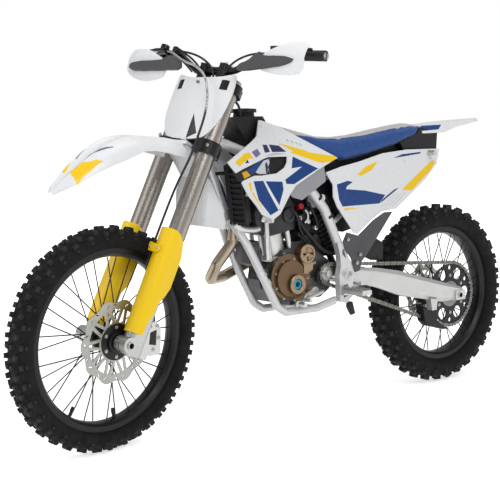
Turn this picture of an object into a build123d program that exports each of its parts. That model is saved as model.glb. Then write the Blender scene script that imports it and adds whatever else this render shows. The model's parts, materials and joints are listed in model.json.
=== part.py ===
from build123d import *
from math import acos, atan2, cos, pi, radians, sin, sqrt, tan
import os

# Motocross bike. Millimetres, +X forwards, +Y to the rider's left, +Z up.
# The origin is on top of the seat, where the rider sits. The side views below are
# drawn as (forwards, height above the ground). The steered parts are drawn straight
# ahead and turned about the steering axis as they are written.

# ---- driving dimensions ----------------------------------------------------------
WHEELBASE = 1495.0
REAR_AXLE_X = -560.0
SEAT_HEIGHT = 948.0
RAKE = 26.1
FORK_OFFSET = 20.0
AXLE_LEAD = 40.4
FORK_SPACING = 184.0
STEERED_LEFT = 8.2

FRONT_TYRE_R = 349.0
FRONT_TYRE_WIDTH = 88.0
FRONT_RIM_R = 281.0
FRONT_RIM_WIDTH = 54.0
REAR_TYRE_R = 344.0
REAR_TYRE_WIDTH = 110.0
REAR_RIM_R = 257.0
REAR_RIM_WIDTH = 66.0
RIM_DEPTH = 27.0
RIM_WALL = 4.0
BEAD_HEIGHT = 14.0
KNOB_HEIGHT = 13.0
KNOB_PITCHES = 36
SPOKES = 36
SPOKE_R = 2.0
SPOKE_CROSS = 62.0

FIT_GAP = 0.3
RUNNING_GAP = 1.5
PIN_GAP = 0.05
MOVING_GAP = 6.0

CHAIN_PITCH = 15.875
REAR_TEETH = 48
FRONT_TEETH = 13
CHAIN_Y = 68.0
CHAIN_PLATE_HEIGHT = 15.0
CHAIN_WIDTH = 16.0
CHAIN_INNER_WIDTH = 9.6
CHAIN_PLATE = 1.9
ROLLER_R = 5.1
SPROCKET_THICKNESS = 6.4

FRONT_DISC_R = 130.0
FRONT_DISC_Y = 48.0
REAR_DISC_R = 110.0
REAR_DISC_Y = -60.0
DISC_THICKNESS = 3.0
DISC_BAND = 22.0

FORK_TUBE_R = 30.0
FORK_SLIDER_R = 24.0
AXLE_R = 12.5
AXLE_BORE_R = 9.0
HUB_CLEARANCE = 0.5
HUB_MOUNT = 6.0
FRONT_BOLT_R = 42.0
REAR_BOLT_R = 46.0

FRAME_TUBE_R = 14.0
MAIN_TUBE_R = 17.0
DOWN_TUBE_R = 20.0
SUBFRAME_TUBE_R = 11.0
HEAD_TUBE_R = 30.0
STEM_R = 15.0
STEM_GAP = 0.8
HEAD_LENGTH = 156.0
HEAD_MIDDLE_UP = 1120.0
CRADLE_Y = 62.0
MAIN_Y = 88.0
SUBFRAME_Y = 60.0

CASE_HALF = 47.0
HEADER_R = 19.0
SILENCER_Y = -114.0

BAR_R = 11.0
BAR_BORE_R = 8.0
BAR_CENTRE_R = 14.3
BAR_HALF_WIDTH = 405.0
BAR_UP = 1286.0
GRIP_R = 16.5
GRIP_LENGTH = 128.0
HOSE_R = 3.5

PLASTIC = 4.0
SEAT_HALF_WIDTH = 92.0

# ---- derived places ----------------------------------------------------------------
GROUND_Z = -SEAT_HEIGHT
FRONT_AXLE_X = REAR_AXLE_X + WHEELBASE
SLOPE = tan(radians(RAKE))
TRAIL = FRONT_TYRE_R * SLOPE - (FORK_OFFSET + AXLE_LEAD) / cos(radians(RAKE))
UP_AXIS = Vector(-sin(radians(RAKE)), 0, cos(radians(RAKE)))
AHEAD = Vector(cos(radians(RAKE)), 0, sin(radians(RAKE)))
STEER_FOOT = Vector(FRONT_AXLE_X + TRAIL, 0, GROUND_Z)
STEER_AXIS = Axis(STEER_FOOT, UP_AXIS)
FORK_Y = FORK_SPACING / 2
AXLE_UP = FRONT_TYRE_R * cos(radians(RAKE)) + TRAIL * sin(radians(RAKE))
FRONT_AXLE = Vector(FRONT_AXLE_X, 0, GROUND_Z + FRONT_TYRE_R)
REAR_AXLE = Vector(REAR_AXLE_X, 0, GROUND_Z + REAR_TYRE_R)
REAR_PITCH_R = CHAIN_PITCH / 2 / sin(pi / REAR_TEETH)
FRONT_PITCH_R = CHAIN_PITCH / 2 / sin(pi / FRONT_TEETH)
HEAD_LOW = HEAD_MIDDLE_UP - HEAD_LENGTH / 2
HEAD_HIGH = HEAD_MIDDLE_UP + HEAD_LENGTH / 2


# ---- planes and plain shapes -----------------------------------------------------------
def side_plane(y):
    """Side view at a distance to the left: local x forwards, local y the height."""
    return Plane(origin=(0, y, GROUND_Z), x_dir=(1, 0, 0), z_dir=(0, -1, 0))


def cross_plane(x):
    """Rear view at a distance forwards: local x to the left, local y the height."""
    return Plane(origin=(x, 0, GROUND_Z), x_dir=(0, 1, 0), z_dir=(1, 0, 0))


def plan_plane(height):
    """Plan view at a height: local x forwards, local y to the left."""
    return Plane(origin=(0, 0, GROUND_Z + height))


def steer_plane(up):
    """Square to the steering axis, at a distance up it: local x ahead, local y left."""
    return Plane(origin=STEER_FOOT + UP_AXIS * up, x_dir=AHEAD, z_dir=UP_AXIS)


def face_plane(ahead):
    """Front view square to the forks: local x to the left, local y up the steering axis."""
    return Plane(origin=STEER_FOOT + AHEAD * ahead, x_dir=(0, 1, 0), z_dir=AHEAD)


def wheel_plane(axle, y):
    """Wheel's side view: local x forwards, local y up, about the axle."""
    return Plane(origin=axle + Vector(0, y, 0), x_dir=(1, 0, 0), z_dir=(0, -1, 0))


def place(x, y, height):
    return Vector(x, y, GROUND_Z + height)


def steered(up, ahead, y):
    return STEER_FOOT + UP_AXIS * up + AHEAD * ahead + Vector(0, y, 0)


def behind_head(height, back):
    """Side view point at a height, a distance behind the steering axis."""
    return (STEER_FOOT.X - height * SLOPE - back, height)


def tube(route, bend, radius, bore=0.0):
    """Round tube along straight runs joined by arcs."""
    with BuildPart() as pipe:
        with BuildLine() as line:
            if len(route) > 2:
                FilletPolyline(*route, radius=bend)
            else:
                Polyline(*route)
        path = line.wire()
        with BuildSketch(Plane(origin=path @ 0, z_dir=path % 0)):
            Circle(radius)
            if bore:
                Circle(bore, mode=Mode.SUBTRACT)
        sweep(path=path)
    return pipe.part


def rod(start, end, radius, bore=0.0):
    """Straight bar between two points."""
    along = end - start
    with BuildPart() as bar:
        with BuildSketch(Plane(origin=start, z_dir=along)):
            Circle(radius)
            if bore:
                Circle(bore, mode=Mode.SUBTRACT)
        extrude(amount=along.length)
    return bar.part


def outline(points):
    """Closed straight-sided face on the current sketch plane."""
    Polygon(*points, align=None)


def panel(points, plan, lean, base, thickness=PLASTIC):
    """Curved sheet: a side-view outline cut from a wall that follows a plan line and leans inwards."""
    wall = plan + [(x, y - thickness) for x, y in reversed(plan)]
    with BuildPart() as sheet:
        with BuildSketch(side_plane(300)):
            outline(points)
        extrude(amount=600)
        with BuildSketch(Plane(origin=place(0, 0, base), x_dir=(1, 0, 0), z_dir=(0, -lean, 1))):
            outline(wall)
        extrude(amount=500, both=True, mode=Mode.INTERSECT)
    return sheet.part


def shield(points, plan, thickness=PLASTIC):
    """Curved sheet on the forks: a front-view outline cut from a wall that follows a plan line."""
    wall = plan + [(ahead + thickness, y) for ahead, y in reversed(plan)]
    with BuildPart() as sheet:
        with BuildSketch(face_plane(-100)):
            outline(points)
        extrude(amount=400)
        with BuildSketch(steer_plane(900)):
            outline(wall)
        extrude(amount=600, mode=Mode.INTERSECT)
    return sheet.part


def both_sides(points):
    """Left half of a section, from the bottom middle up, with its mirror image."""
    return points + [(-y, h) for y, h in reversed(points) if y > 0]


def arch(top, half, drop):
    """Section of a thin fender: a crowned roof with turned-down edges."""
    shoulder = half * 0.8
    return both_sides([(0, top - PLASTIC), (shoulder - 0.8 * PLASTIC, top - 0.2 * drop - PLASTIC),
                       (half - PLASTIC, top - drop), (half, top - drop), (shoulder, top - 0.2 * drop),
                       (0, top)])


def toothed(count, tip_r, root_r, tip_share, phase):
    """Outline with flat-topped teeth, given as a ring of points."""
    points = []
    for number in range(count):
        for share, radius in ((-0.62, root_r), (-0.5, tip_r), (0.5, tip_r), (0.62, root_r)):
            turn = 2 * pi * (number + phase + share * tip_share) / count
            points.append((radius * cos(turn), radius * sin(turn)))
    return points


def write(part, name, steers=False):
    if steers:
        part = part.rotate(STEER_AXIS, STEERED_LEFT)
    part.label = name
    export_step(part, f"parts/{name}.step")


os.makedirs("parts", exist_ok=True)


# ---- wheels --------------------------------------------------------------------------
def tread_ring(axle, near, far, phase):
    """Ring of knobs between two stations, each a distance sideways, a tip radius and a root radius."""
    with BuildPart() as ring:
        for y, tip, root in (near, far):
            with BuildSketch(wheel_plane(axle, y)):
                outline(toothed(KNOB_PITCHES, tip, root, 0.56, phase))
        loft(ruled=True)
    return ring.part


def polygon_band(axle, near, far):
    """Ring wall between two stations, each a distance sideways and a radius."""
    with BuildPart() as band:
        for y, r in (near, far):
            with BuildSketch(wheel_plane(axle, y)):
                RegularPolygon(r, KNOB_PITCHES, major_radius=False)
        loft(ruled=True)
    return band.part


def tyre(axle, radius, width, rim_r, rim_width):
    """Knobbly tyre: three rings of knobs on a casing, seated between the rim's flanges."""
    bead_y = rim_width / 2 - RIM_WALL - FIT_GAP
    half = width / 2
    crown = half * 0.4
    edge = half * 0.94
    crown_root = radius - KNOB_HEIGHT
    edge_root = crown_root - half * 0.34
    edge_tip = edge_root + KNOB_HEIGHT
    wide_r = (radius + rim_r) / 2 - 4
    rings = [tread_ring(axle, (-crown, radius, crown_root), (crown, radius, crown_root), 0)]
    inside = [polygon_band(axle, (-half - 1, rim_r - BEAD_HEIGHT), (half + 1, rim_r - BEAD_HEIGHT))]
    for side in (-1, 1):
        rings.append(tread_ring(axle, (side * crown, radius - 3, crown_root),
                                (side * edge, edge_tip, edge_root), 0.5))
        rings.append(polygon_band(axle, (side * edge, edge_root - 1), (side * half, wide_r)))
        flare = rim_r + (half - bead_y) * 1.1
        inside.append(polygon_band(axle, (side * bead_y, rim_r + 1), (side * (half + 1), flare)))
    with BuildPart() as solid:
        add(rings)
        add(inside, mode=Mode.SUBTRACT)
    return solid.part


def rim(axle, rim_r, rim_width):
    """Drop-centre rim: two flanges on a well."""
    half = rim_width / 2
    floor = rim_r - BEAD_HEIGHT - FIT_GAP
    inner = rim_r - RIM_DEPTH
    profile = [(half, rim_r), (half, floor - 2), (half - 9, inner + 3), (8, inner)]
    upper = [(8, inner + 5), (half - 11, floor - 3), (half - RIM_WALL, floor), (half - RIM_WALL, rim_r)]
    left = profile + [(-y, r) for y, r in reversed(profile)]
    with BuildPart() as solid:
        with BuildSketch(Plane(origin=axle, x_dir=(0, 1, 0), z_dir=(1, 0, 0))):
            outline(left + [(-y, r) for y, r in upper[::-1]] + upper)
        revolve(axis=Axis(axle, (0, 1, 0)))
    return solid.part


def spoke(start, end):
    """One spoke, six-sided."""
    along = end - start
    with BuildPart() as wire:
        with BuildSketch(Plane(origin=start, z_dir=along)):
            RegularPolygon(SPOKE_R, 6)
        extrude(amount=along.length)
    return wire.part


def hub(axle, barrel_r, flange_r, flange_y, left, right, rim_r):
    """Hub shell with its crossed spokes, which reach the rim's well. Each end has a distance and a radius."""
    spoke_end_r = rim_r - RIM_DEPTH - FIT_GAP - SPOKE_R / 2
    spokes = []
    for number in range(SPOKES):
        side = 1 if number % 2 else -1
        turn = 1 if number % 4 < 2 else -1
        rim_angle = number * 360 / SPOKES
        hub_angle = radians(rim_angle + turn * SPOKE_CROSS)
        rim_angle = radians(rim_angle)
        lean = flange_y + turn * 1.3 * SPOKE_R
        hole_r = flange_r * 0.93
        start = axle + Vector(hole_r * cos(hub_angle), side * lean, hole_r * sin(hub_angle))
        end = axle + Vector(spoke_end_r * cos(rim_angle), side * 6, spoke_end_r * sin(rim_angle))
        spokes.append(spoke(start, end))
    half_shell = [(flange_y - 9, barrel_r - 2), (flange_y - 5, flange_r + 4), (flange_y + 5, flange_r + 4),
                  (flange_y + 6, barrel_r)]
    bore = AXLE_R + HUB_CLEARANCE
    right_shell, left_shell = (
        half_shell + [(end - HUB_MOUNT, barrel_r - 2), (end - HUB_MOUNT, end_r), (end, end_r), (end, bore)]
        for end, end_r in (right, left))
    with BuildPart() as solid:
        with BuildSketch(Plane(origin=axle, x_dir=(0, 1, 0), z_dir=(1, 0, 0))):
            outline([(-y, r) for y, r in right_shell[::-1]] + left_shell)
        revolve(axis=Axis(axle, (0, 1, 0)))
        add(spokes)
    return solid.part


def brake_disc(axle, y, outer_r, bolt_r, lobes):
    """Wave disc: scalloped band, open windows and a bolt ring."""
    window_r = (outer_r - DISC_BAND - bolt_r - 9) / 2
    with BuildPart() as disc:
        with BuildSketch(wheel_plane(axle, y + DISC_THICKNESS / 2)):
            Circle(outer_r)
            Circle(bolt_r - 9, mode=Mode.SUBTRACT)
            with PolarLocations(outer_r + 9, lobes):
                RegularPolygon(16, 12, mode=Mode.SUBTRACT)
            with PolarLocations(bolt_r + 9 + window_r, lobes // 2):
                RegularPolygon(window_r, 8, mode=Mode.SUBTRACT)
            with PolarLocations(outer_r - DISC_BAND / 2, lobes, start_angle=180 / lobes):
                RegularPolygon(4, 6, mode=Mode.SUBTRACT)
        extrude(amount=DISC_THICKNESS)
    return disc.part


front_hub_right = (FORK_Y - FORK_SLIDER_R - MOVING_GAP, 20)
front_hub_left = (FRONT_DISC_Y - DISC_THICKNESS / 2 - FIT_GAP, FRONT_BOLT_R + 7)
write(tyre(FRONT_AXLE, FRONT_TYRE_R, FRONT_TYRE_WIDTH, FRONT_RIM_R, FRONT_RIM_WIDTH), "front_tyre", True)
write(rim(FRONT_AXLE, FRONT_RIM_R, FRONT_RIM_WIDTH), "front_rim", True)
write(hub(FRONT_AXLE, 25, 30, 26, front_hub_left, front_hub_right, FRONT_RIM_R), "front_hub", True)
write(brake_disc(FRONT_AXLE, FRONT_DISC_Y, FRONT_DISC_R, FRONT_BOLT_R, 14), "front_disc", True)

rear_hub_left = (CHAIN_Y - SPROCKET_THICKNESS / 2 - FIT_GAP, 46)
rear_hub_right = (-REAR_DISC_Y - DISC_THICKNESS / 2 - FIT_GAP, REAR_BOLT_R + 7)
write(tyre(REAR_AXLE, REAR_TYRE_R, REAR_TYRE_WIDTH, REAR_RIM_R, REAR_RIM_WIDTH), "rear_tyre")
write(rim(REAR_AXLE, REAR_RIM_R, REAR_RIM_WIDTH), "rear_rim")
write(hub(REAR_AXLE, 30, 37, 33, rear_hub_left, rear_hub_right, REAR_RIM_R), "rear_hub")
write(brake_disc(REAR_AXLE, REAR_DISC_Y, REAR_DISC_R, REAR_BOLT_R, 12), "rear_disc")

SPROCKET_GAP = 0.6
with BuildPart() as rear_sprocket:
    with BuildSketch(wheel_plane(REAR_AXLE, CHAIN_Y + SPROCKET_THICKNESS / 2)):
        tip_r = REAR_PITCH_R - ROLLER_R - SPROCKET_GAP
        outline(toothed(REAR_TEETH, tip_r, tip_r - 4, 0.5, 0))
        Circle(30, mode=Mode.SUBTRACT)
        with PolarLocations(tip_r * 0.7, 8):
            SlotCenterToCenter(22, 24, mode=Mode.SUBTRACT)
        with PolarLocations(tip_r * 0.83, 8, start_angle=22.5):
            RegularPolygon(6, 6, mode=Mode.SUBTRACT)
    extrude(amount=SPROCKET_THICKNESS)
write(rear_sprocket.part, "rear_sprocket")

# ---- chain -----------------------------------------------------------------------------
DRIVE_X = 78.0
DRIVE_H = 478.0
DRIVE = place(DRIVE_X, 0, DRIVE_H)
drive_run = sqrt((DRIVE_X - REAR_AXLE_X) ** 2 + (DRIVE_H - REAR_TYRE_R) ** 2)
drive_slope = atan2(DRIVE_H - REAR_TYRE_R, DRIVE_X - REAR_AXLE_X)
drive_swing = acos((REAR_PITCH_R - FRONT_PITCH_R) / drive_run)


def belt_points(grow):
    """Tangent and middle points of a belt round the two sprockets, in side view."""
    rear, front = Vector(REAR_AXLE_X, REAR_TYRE_R), Vector(DRIVE_X, DRIVE_H)
    low, high = drive_slope - drive_swing, drive_slope + drive_swing
    ends = ((rear, REAR_PITCH_R, low), (rear, REAR_PITCH_R, drive_slope + pi), (rear, REAR_PITCH_R, high),
            (front, FRONT_PITCH_R, high), (front, FRONT_PITCH_R, drive_slope), (front, FRONT_PITCH_R, low))
    return [centre + Vector(cos(a), sin(a)) * (r + grow) for centre, r, a in ends]


def chain_band(y, thickness, grow):
    """Loop that follows the chain's pitch line, as wide as the growth to each side of it."""
    with BuildPart() as band:
        for offset, mode in ((grow, Mode.ADD), (-grow, Mode.SUBTRACT)):
            low, back, top, over, nose, under = belt_points(offset)
            with BuildSketch(side_plane(y)):
                with BuildLine():
                    ThreePointArc(low, back, top)
                    Line(top, over)
                    ThreePointArc(over, nose, under)
                    Line(under, low)
                make_face()
            extrude(amount=thickness, mode=mode)
    return band.part


def outer_link(y, path, share, span):
    """Outer plate that lies across two pins of the loop."""
    start, end = path @ (share % 1.0), path @ ((share + span) % 1.0)
    middle = (start + end) / 2
    turn = end - start
    with BuildPart() as plate:
        with BuildSketch(side_plane(y)):
            with Locations((middle.X, middle.Y)):
                with Locations(Rotation(0, 0, Vector(1, 0).get_signed_angle(turn, Vector(0, 0, 1)))):
                    half = CHAIN_PLATE_HEIGHT / 2
                    long = CHAIN_PITCH / 2 + half
                    outline([(long, half * 0.5), (long - 3, half), (-long + 3, half), (-long, half * 0.5),
                             (-long, -half * 0.5), (-long + 3, -half), (long - 3, -half),
                             (long, -half * 0.5)])
        extrude(amount=CHAIN_PLATE)
    return plate.part


with BuildPart() as chain:
    with BuildLine() as pitch_line:
        low, back, top, over, nose, under = belt_points(0)
        ThreePointArc(low, back, top)
        Line(top, over)
        ThreePointArc(over, nose, under)
        Line(under, low)
    pitch_path = pitch_line.wire()
    link_pairs = round(pitch_path.length / CHAIN_PITCH / 2)
    inner_y = CHAIN_Y + CHAIN_WIDTH / 2 - CHAIN_PLATE
    add(chain_band(inner_y, CHAIN_WIDTH - 2 * CHAIN_PLATE, ROLLER_R))
    plates = []
    for number in range(link_pairs):
        for y in (CHAIN_Y + CHAIN_WIDTH / 2, CHAIN_Y - CHAIN_WIDTH / 2 + CHAIN_PLATE):
            plates.append(outer_link(y, pitch_path, number / link_pairs, 0.5 / link_pairs))
    add(plates)
write(chain.part, "chain")

with BuildPart() as front_sprocket:
    with BuildSketch(wheel_plane(DRIVE, CHAIN_Y + SPROCKET_THICKNESS / 2)):
        tip_r = FRONT_PITCH_R - ROLLER_R - SPROCKET_GAP
        outline(toothed(FRONT_TEETH, tip_r, tip_r - 4, 0.5, 0))
    extrude(amount=SPROCKET_THICKNESS)
    with BuildSketch(wheel_plane(DRIVE, CHAIN_Y + 14)):
        Circle(12)
    extrude(amount=CHAIN_Y + 14 - CASE_HALF - FIT_GAP)
write(front_sprocket.part, "front_sprocket")

# ---- swingarm, rear axle, chain guide ---------------------------------------------------
CASTING_Y = MAIN_Y + 19.0
PIVOT_X = 17.0
PIVOT_H = 476.0
ARM_INNER_Y = 80.0
ARM_OUTER_Y = 117.0
PIVOT_TUBE_R = 20.0
PIVOT_BOLT_R = 12.0
PIVOT_HALF = CASTING_Y - 24.0 - FIT_GAP
SLOT_LENGTH = 46.0
SHOCK_FOOT = place(-60, 0, 418)
SHOCK_PIN_R = 6.0


def arm_section(y_in, y_out, low, high):
    """Box section of the swingarm with bevelled corners."""
    bevel = 0.18 * (high - low)
    side = 0.3 * (y_out - y_in)
    return [(y_in, low), (y_out - side, low), (y_out, low + bevel), (y_out, high - bevel),
            (y_out - side, high), (y_in, high)]


arm_stations = [
    (PIVOT_X, 58, PIVOT_HALF, PIVOT_H - 20, PIVOT_H + 14),
    (-24, 59, PIVOT_HALF, PIVOT_H - 30, PIVOT_H + 13),
    (-60, 60, 88, PIVOT_H - 40, PIVOT_H + 13),
    (-150, 78, 100, 408, 480),
    (-250, ARM_INNER_Y, 106, 372, 462),
    (-469, ARM_INNER_Y, ARM_OUTER_Y, 326, 402),
    (REAR_AXLE_X - 24, ARM_INNER_Y, ARM_OUTER_Y, REAR_TYRE_R - 21, REAR_TYRE_R + 28),
]
with BuildPart() as swingarm:
    for x, y_in, y_out, low, high in arm_stations:
        with BuildSketch(cross_plane(x)):
            outline(arm_section(y_in, y_out, low, high))
    loft(ruled=True)
    with BuildSketch(plan_plane(424)):
        outline([(-88, 0), (-88, 40), (-70, 60), (-70, 86), (-120, 90), (-190, 90), (-150, 60), (-136, 0)])
    extrude(amount=44)
    with BuildSketch(side_plane(25)):
        outline([(-130, 430), (-86, 440), (-52, 434), (-46, 410), (-66, 402), (-120, 412)])
    extrude(amount=7)
    with BuildSketch(side_plane(PIVOT_HALF)):
        with Locations((PIVOT_X, PIVOT_H)):
            Circle(PIVOT_TUBE_R)
    extrude(amount=PIVOT_HALF)
    with BuildSketch(side_plane(PIVOT_HALF)):
        with Locations((PIVOT_X, PIVOT_H)):
            Circle(PIVOT_TUBE_R + 8)
    extrude(amount=PIVOT_HALF - CHAIN_Y - CHAIN_WIDTH / 2 - FIT_GAP)
    with BuildSketch(side_plane(CASTING_Y)):
        with Locations((PIVOT_X, PIVOT_H)):
            Circle(PIVOT_BOLT_R)
    extrude(amount=CASTING_Y)
    with BuildSketch(side_plane(ARM_OUTER_Y)):
        outline([(-400, 345), (-440, 340), (-432, 300), (-408, 300)])
    extrude(amount=ARM_OUTER_Y - ARM_INNER_Y - 12)
    with BuildSketch(side_plane(ARM_OUTER_Y)):
        with Locations((REAR_AXLE_X, REAR_TYRE_R)):
            SlotOverall(SLOT_LENGTH, 2 * AXLE_R + 1.0)
    extrude(amount=ARM_OUTER_Y, mode=Mode.SUBTRACT)
    with BuildSketch(side_plane(ARM_OUTER_Y + 6)):
        with Locations((REAR_AXLE_X - 2, REAR_TYRE_R)):
            RectangleRounded(SLOT_LENGTH + 8, 36, 5)
        with Locations((REAR_AXLE_X, REAR_TYRE_R)):
            Circle(AXLE_R + PIN_GAP, mode=Mode.SUBTRACT)
    extrude(amount=6)
    mirror(about=Plane.XZ)
    add(rod(SHOCK_FOOT - Vector(0, 20, 0), SHOCK_FOOT + Vector(0, 20, 0), SHOCK_PIN_R))
write(swingarm.part, "swingarm")

rear_axle_half = ARM_OUTER_Y + 9
rear_axle = rod(REAR_AXLE - Vector(0, rear_axle_half, 0), REAR_AXLE + Vector(0, rear_axle_half, 0), AXLE_R,
                AXLE_BORE_R)
write(rear_axle, "rear_axle")

chain_passage = chain_band(CHAIN_Y + CHAIN_WIDTH / 2 + RUNNING_GAP, CHAIN_WIDTH + 2 * RUNNING_GAP,
                           CHAIN_PLATE_HEIGHT / 2 + RUNNING_GAP)
GUIDE_OUTER_Y = ARM_INNER_Y + 12 - FIT_GAP
with BuildPart() as chain_guide:
    with BuildSketch(side_plane(GUIDE_OUTER_Y)):
        outline([(-385, 318), (-424, 300), (-491, 289), (-545, 258), (-565, 215), (-500, 215), (-418, 238),
                 (-396, 258)])
    extrude(amount=GUIDE_OUTER_Y - CHAIN_Y + CHAIN_WIDTH / 2 + 5)
    with BuildSketch(side_plane(300)):
        with Locations((REAR_AXLE_X, REAR_TYRE_R)):
            Circle(REAR_PITCH_R + CHAIN_PLATE_HEIGHT / 2 + RUNNING_GAP)
    extrude(amount=600, mode=Mode.SUBTRACT)
    add(chain_passage, mode=Mode.SUBTRACT)
    add(swingarm.part, mode=Mode.SUBTRACT)
write(chain_guide.part, "chain_guide")

# ---- frame ----------------------------------------------------------------------------------
SPLIT_X = 468.0
SPLIT_H = 700.0
split_joint = place(SPLIT_X, 0, SPLIT_H)
head_joint = STEER_FOOT + UP_AXIS * (HEAD_LOW + 28)
with BuildPart() as head_frame:
    add(rod(steered(HEAD_LOW, 0, 0), steered(HEAD_HIGH, 0, 0), HEAD_TUBE_R))
    with BuildSketch(side_plane(5)):
        outline([behind_head(950, 20), behind_head(1030, 18), (470, 925), (430, 888),
                 (SPLIT_X - 14, SPLIT_H + 70)])
    extrude(amount=10)
    add(rod(head_joint, split_joint, DOWN_TUBE_R))
    with BuildSketch(side_plane(24)):
        outline([(SPLIT_X - 16, SPLIT_H + 12), (SPLIT_X + 20, SPLIT_H + 4), (SPLIT_X + 14, SPLIT_H - 44),
                 (SPLIT_X - 14, SPLIT_H - 44)])
    extrude(amount=48)
    with BuildSketch(steer_plane(HEAD_LOW)):
        Circle(STEM_R + STEM_GAP)
    extrude(amount=HEAD_LENGTH, mode=Mode.SUBTRACT)
    with BuildSketch(steer_plane(HEAD_LOW - 60)):
        Circle(HEAD_TUBE_R + 12)
    extrude(amount=60, mode=Mode.SUBTRACT)
write(head_frame.part, "head_frame")

cradle_route = [place(SPLIT_X - 2, 28, SPLIT_H - 10), place(418, 52, 606), place(369, CRADLE_Y - 2, 511),
                place(300, CRADLE_Y, 386), place(262, CRADLE_Y, 362), place(120, CRADLE_Y, 362),
                place(30, 74, 386)]
cradle_left = tube(cradle_route, 28, FRAME_TUBE_R)
cradle_clear = tube(cradle_route, 28, FRAME_TUBE_R + FIT_GAP)
with BuildPart() as cradle_half:
    add(cradle_left)
    with BuildSketch(side_plane(CRADLE_Y + 4)):
        outline([(352, 500), (384, 522), (372, 490), (340, 440), (322, 448), (326, 470)])
    extrude(amount=8)
    with BuildSketch(side_plane(CRADLE_Y + 4)):
        outline([(176, 362), (224, 362), (214, 394), (186, 394)])
    extrude(amount=8)
    with BuildSketch(side_plane(200)):
        with Locations((PIVOT_X, 390)):
            Rectangle(60, 100)
    extrude(amount=200, mode=Mode.SUBTRACT)
    with BuildSketch(side_plane(0)):
        Rectangle(3000, 3000)
    extrude(amount=200, mode=Mode.SUBTRACT)
    add(head_frame.part, mode=Mode.SUBTRACT)
with BuildPart() as cradle_tubes:
    add(cradle_half.part)
    mirror(about=Plane.XZ)
    add(rod(place(130, -52, 362), place(130, 52, 362), 10))
write(cradle_tubes.part, "cradle_tubes")

main_route = [place(STEER_FOOT.X - 960 * SLOPE - 8, 20, 960), place(430, 60, 905), place(165, MAIN_Y, 770),
              place(105, MAIN_Y, 705), place(40, MAIN_Y, 575)]
main_left = tube(main_route, 60, MAIN_TUBE_R)
main_left_clear = tube(main_route, 60, MAIN_TUBE_R + FIT_GAP)
SHOCK_TOP = place(112, 0, 742)
SHOCK_BAR_R = 13.0
with BuildPart() as main_tubes:
    add(main_left)
    with BuildSketch(side_plane(0)):
        Rectangle(3000, 3000)
    extrude(amount=200, mode=Mode.SUBTRACT)
    mirror(about=Plane.XZ)
    add(rod(SHOCK_TOP - Vector(0, MAIN_Y, 0), SHOCK_TOP + Vector(0, MAIN_Y, 0), SHOCK_BAR_R))
    for side in (-1, 1):
        with BuildSketch(side_plane(side * 30 + 4)):
            with Locations((SHOCK_TOP.X, SHOCK_TOP.Z - GROUND_Z - 12)):
                Rectangle(34, 44)
        extrude(amount=8)
    add(rod(steered(HEAD_LOW - 60, 0, 0), steered(HEAD_HIGH, 0, 0), HEAD_TUBE_R), mode=Mode.SUBTRACT)
    add(head_frame.part, mode=Mode.SUBTRACT)
write(main_tubes.part, "main_tubes")

with BuildPart() as casting_half:
    with BuildSketch(side_plane(CASTING_Y)):
        outline([(62, 585), (22, 585), (14, 540), (-12, 500), (-16, 462), (-8, 430), (-10, 395), (20, 372),
                 (50, 380), (52, 430), (54, 470), (46, 505), (50, 545)])
    extrude(amount=24)
    with BuildSketch(side_plane(CASTING_Y + 2)):
        with Locations((PIVOT_X, PIVOT_H)):
            Circle(PIVOT_BOLT_R + 6)
    extrude(amount=2)
    with BuildSketch(side_plane(CASTING_Y + 5)):
        with Locations((PIVOT_X, PIVOT_H)):
            Circle(PIVOT_BOLT_R + PIN_GAP)
    extrude(amount=40, mode=Mode.SUBTRACT)
    with BuildSketch(side_plane(CASTING_Y + 5)):
        outline([(20, 528), (40, 545), (38, 562), (30, 562)])
        outline([(8, 400), (34, 392), (36, 436), (14, 440)])
    extrude(amount=40, mode=Mode.SUBTRACT)
    add(main_left, mode=Mode.SUBTRACT)
    add(cradle_half.part, mode=Mode.SUBTRACT)
with BuildPart() as pivot_castings:
    add(casting_half.part)
    mirror(about=Plane.XZ)
write(pivot_castings.part, "pivot_castings")

rail_front = place(135, SUBFRAME_Y + 4, 806)
rail_rear = place(-440, SUBFRAME_Y - 2, 888)
rail_route = [rail_front, place(0, SUBFRAME_Y + 4, 822), rail_rear]
strut_route = [place(44, MAIN_Y - MAIN_TUBE_R - 9, 650), place(-40, SUBFRAME_Y + 6, 714),
               place(-400, SUBFRAME_Y, 870)]
with BuildPart() as subframe:
    add(tube(rail_route, 60, SUBFRAME_TUBE_R))
    add(tube(strut_route, 60, SUBFRAME_TUBE_R - 2))
    with BuildSketch(side_plane(200)):
        with Locations((200, 800)):
            Rectangle(130, 200)
    extrude(amount=200, mode=Mode.SUBTRACT)
    mirror(about=Plane.XZ)
    add(rod(rail_rear - Vector(-14, SUBFRAME_Y - 2, 2), rail_rear + Vector(14, SUBFRAME_Y - 2, -2), 9))
    add(main_left_clear, mode=Mode.SUBTRACT)
    add(main_left_clear.mirror(Plane.XZ), mode=Mode.SUBTRACT)
write(subframe.part, "subframe")

# ---- engine -----------------------------------------------------------------------------------
CRANK_X = 235.0
CRANK_H = 470.0
CYLINDER_LEAN = 10.0
BASE_R = 92.0
CYLINDER_HEIGHT = 110.0
HEAD_HEIGHT = 62.0
COVER_HEIGHT = 44.0
bore_up = Vector(sin(radians(CYLINDER_LEAN)), 0, cos(radians(CYLINDER_LEAN)))
bore_side = Vector(cos(radians(CYLINDER_LEAN)), 0, -sin(radians(CYLINDER_LEAN)))
BORE_FOOT = place(CRANK_X + 72, 0, CRANK_H)


def bore_plane(up):
    """Square to the cylinder's bore, at a distance up it from the crankshaft's height."""
    return Plane(origin=BORE_FOOT + bore_up * up, x_dir=bore_side, z_dir=bore_up)


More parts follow.
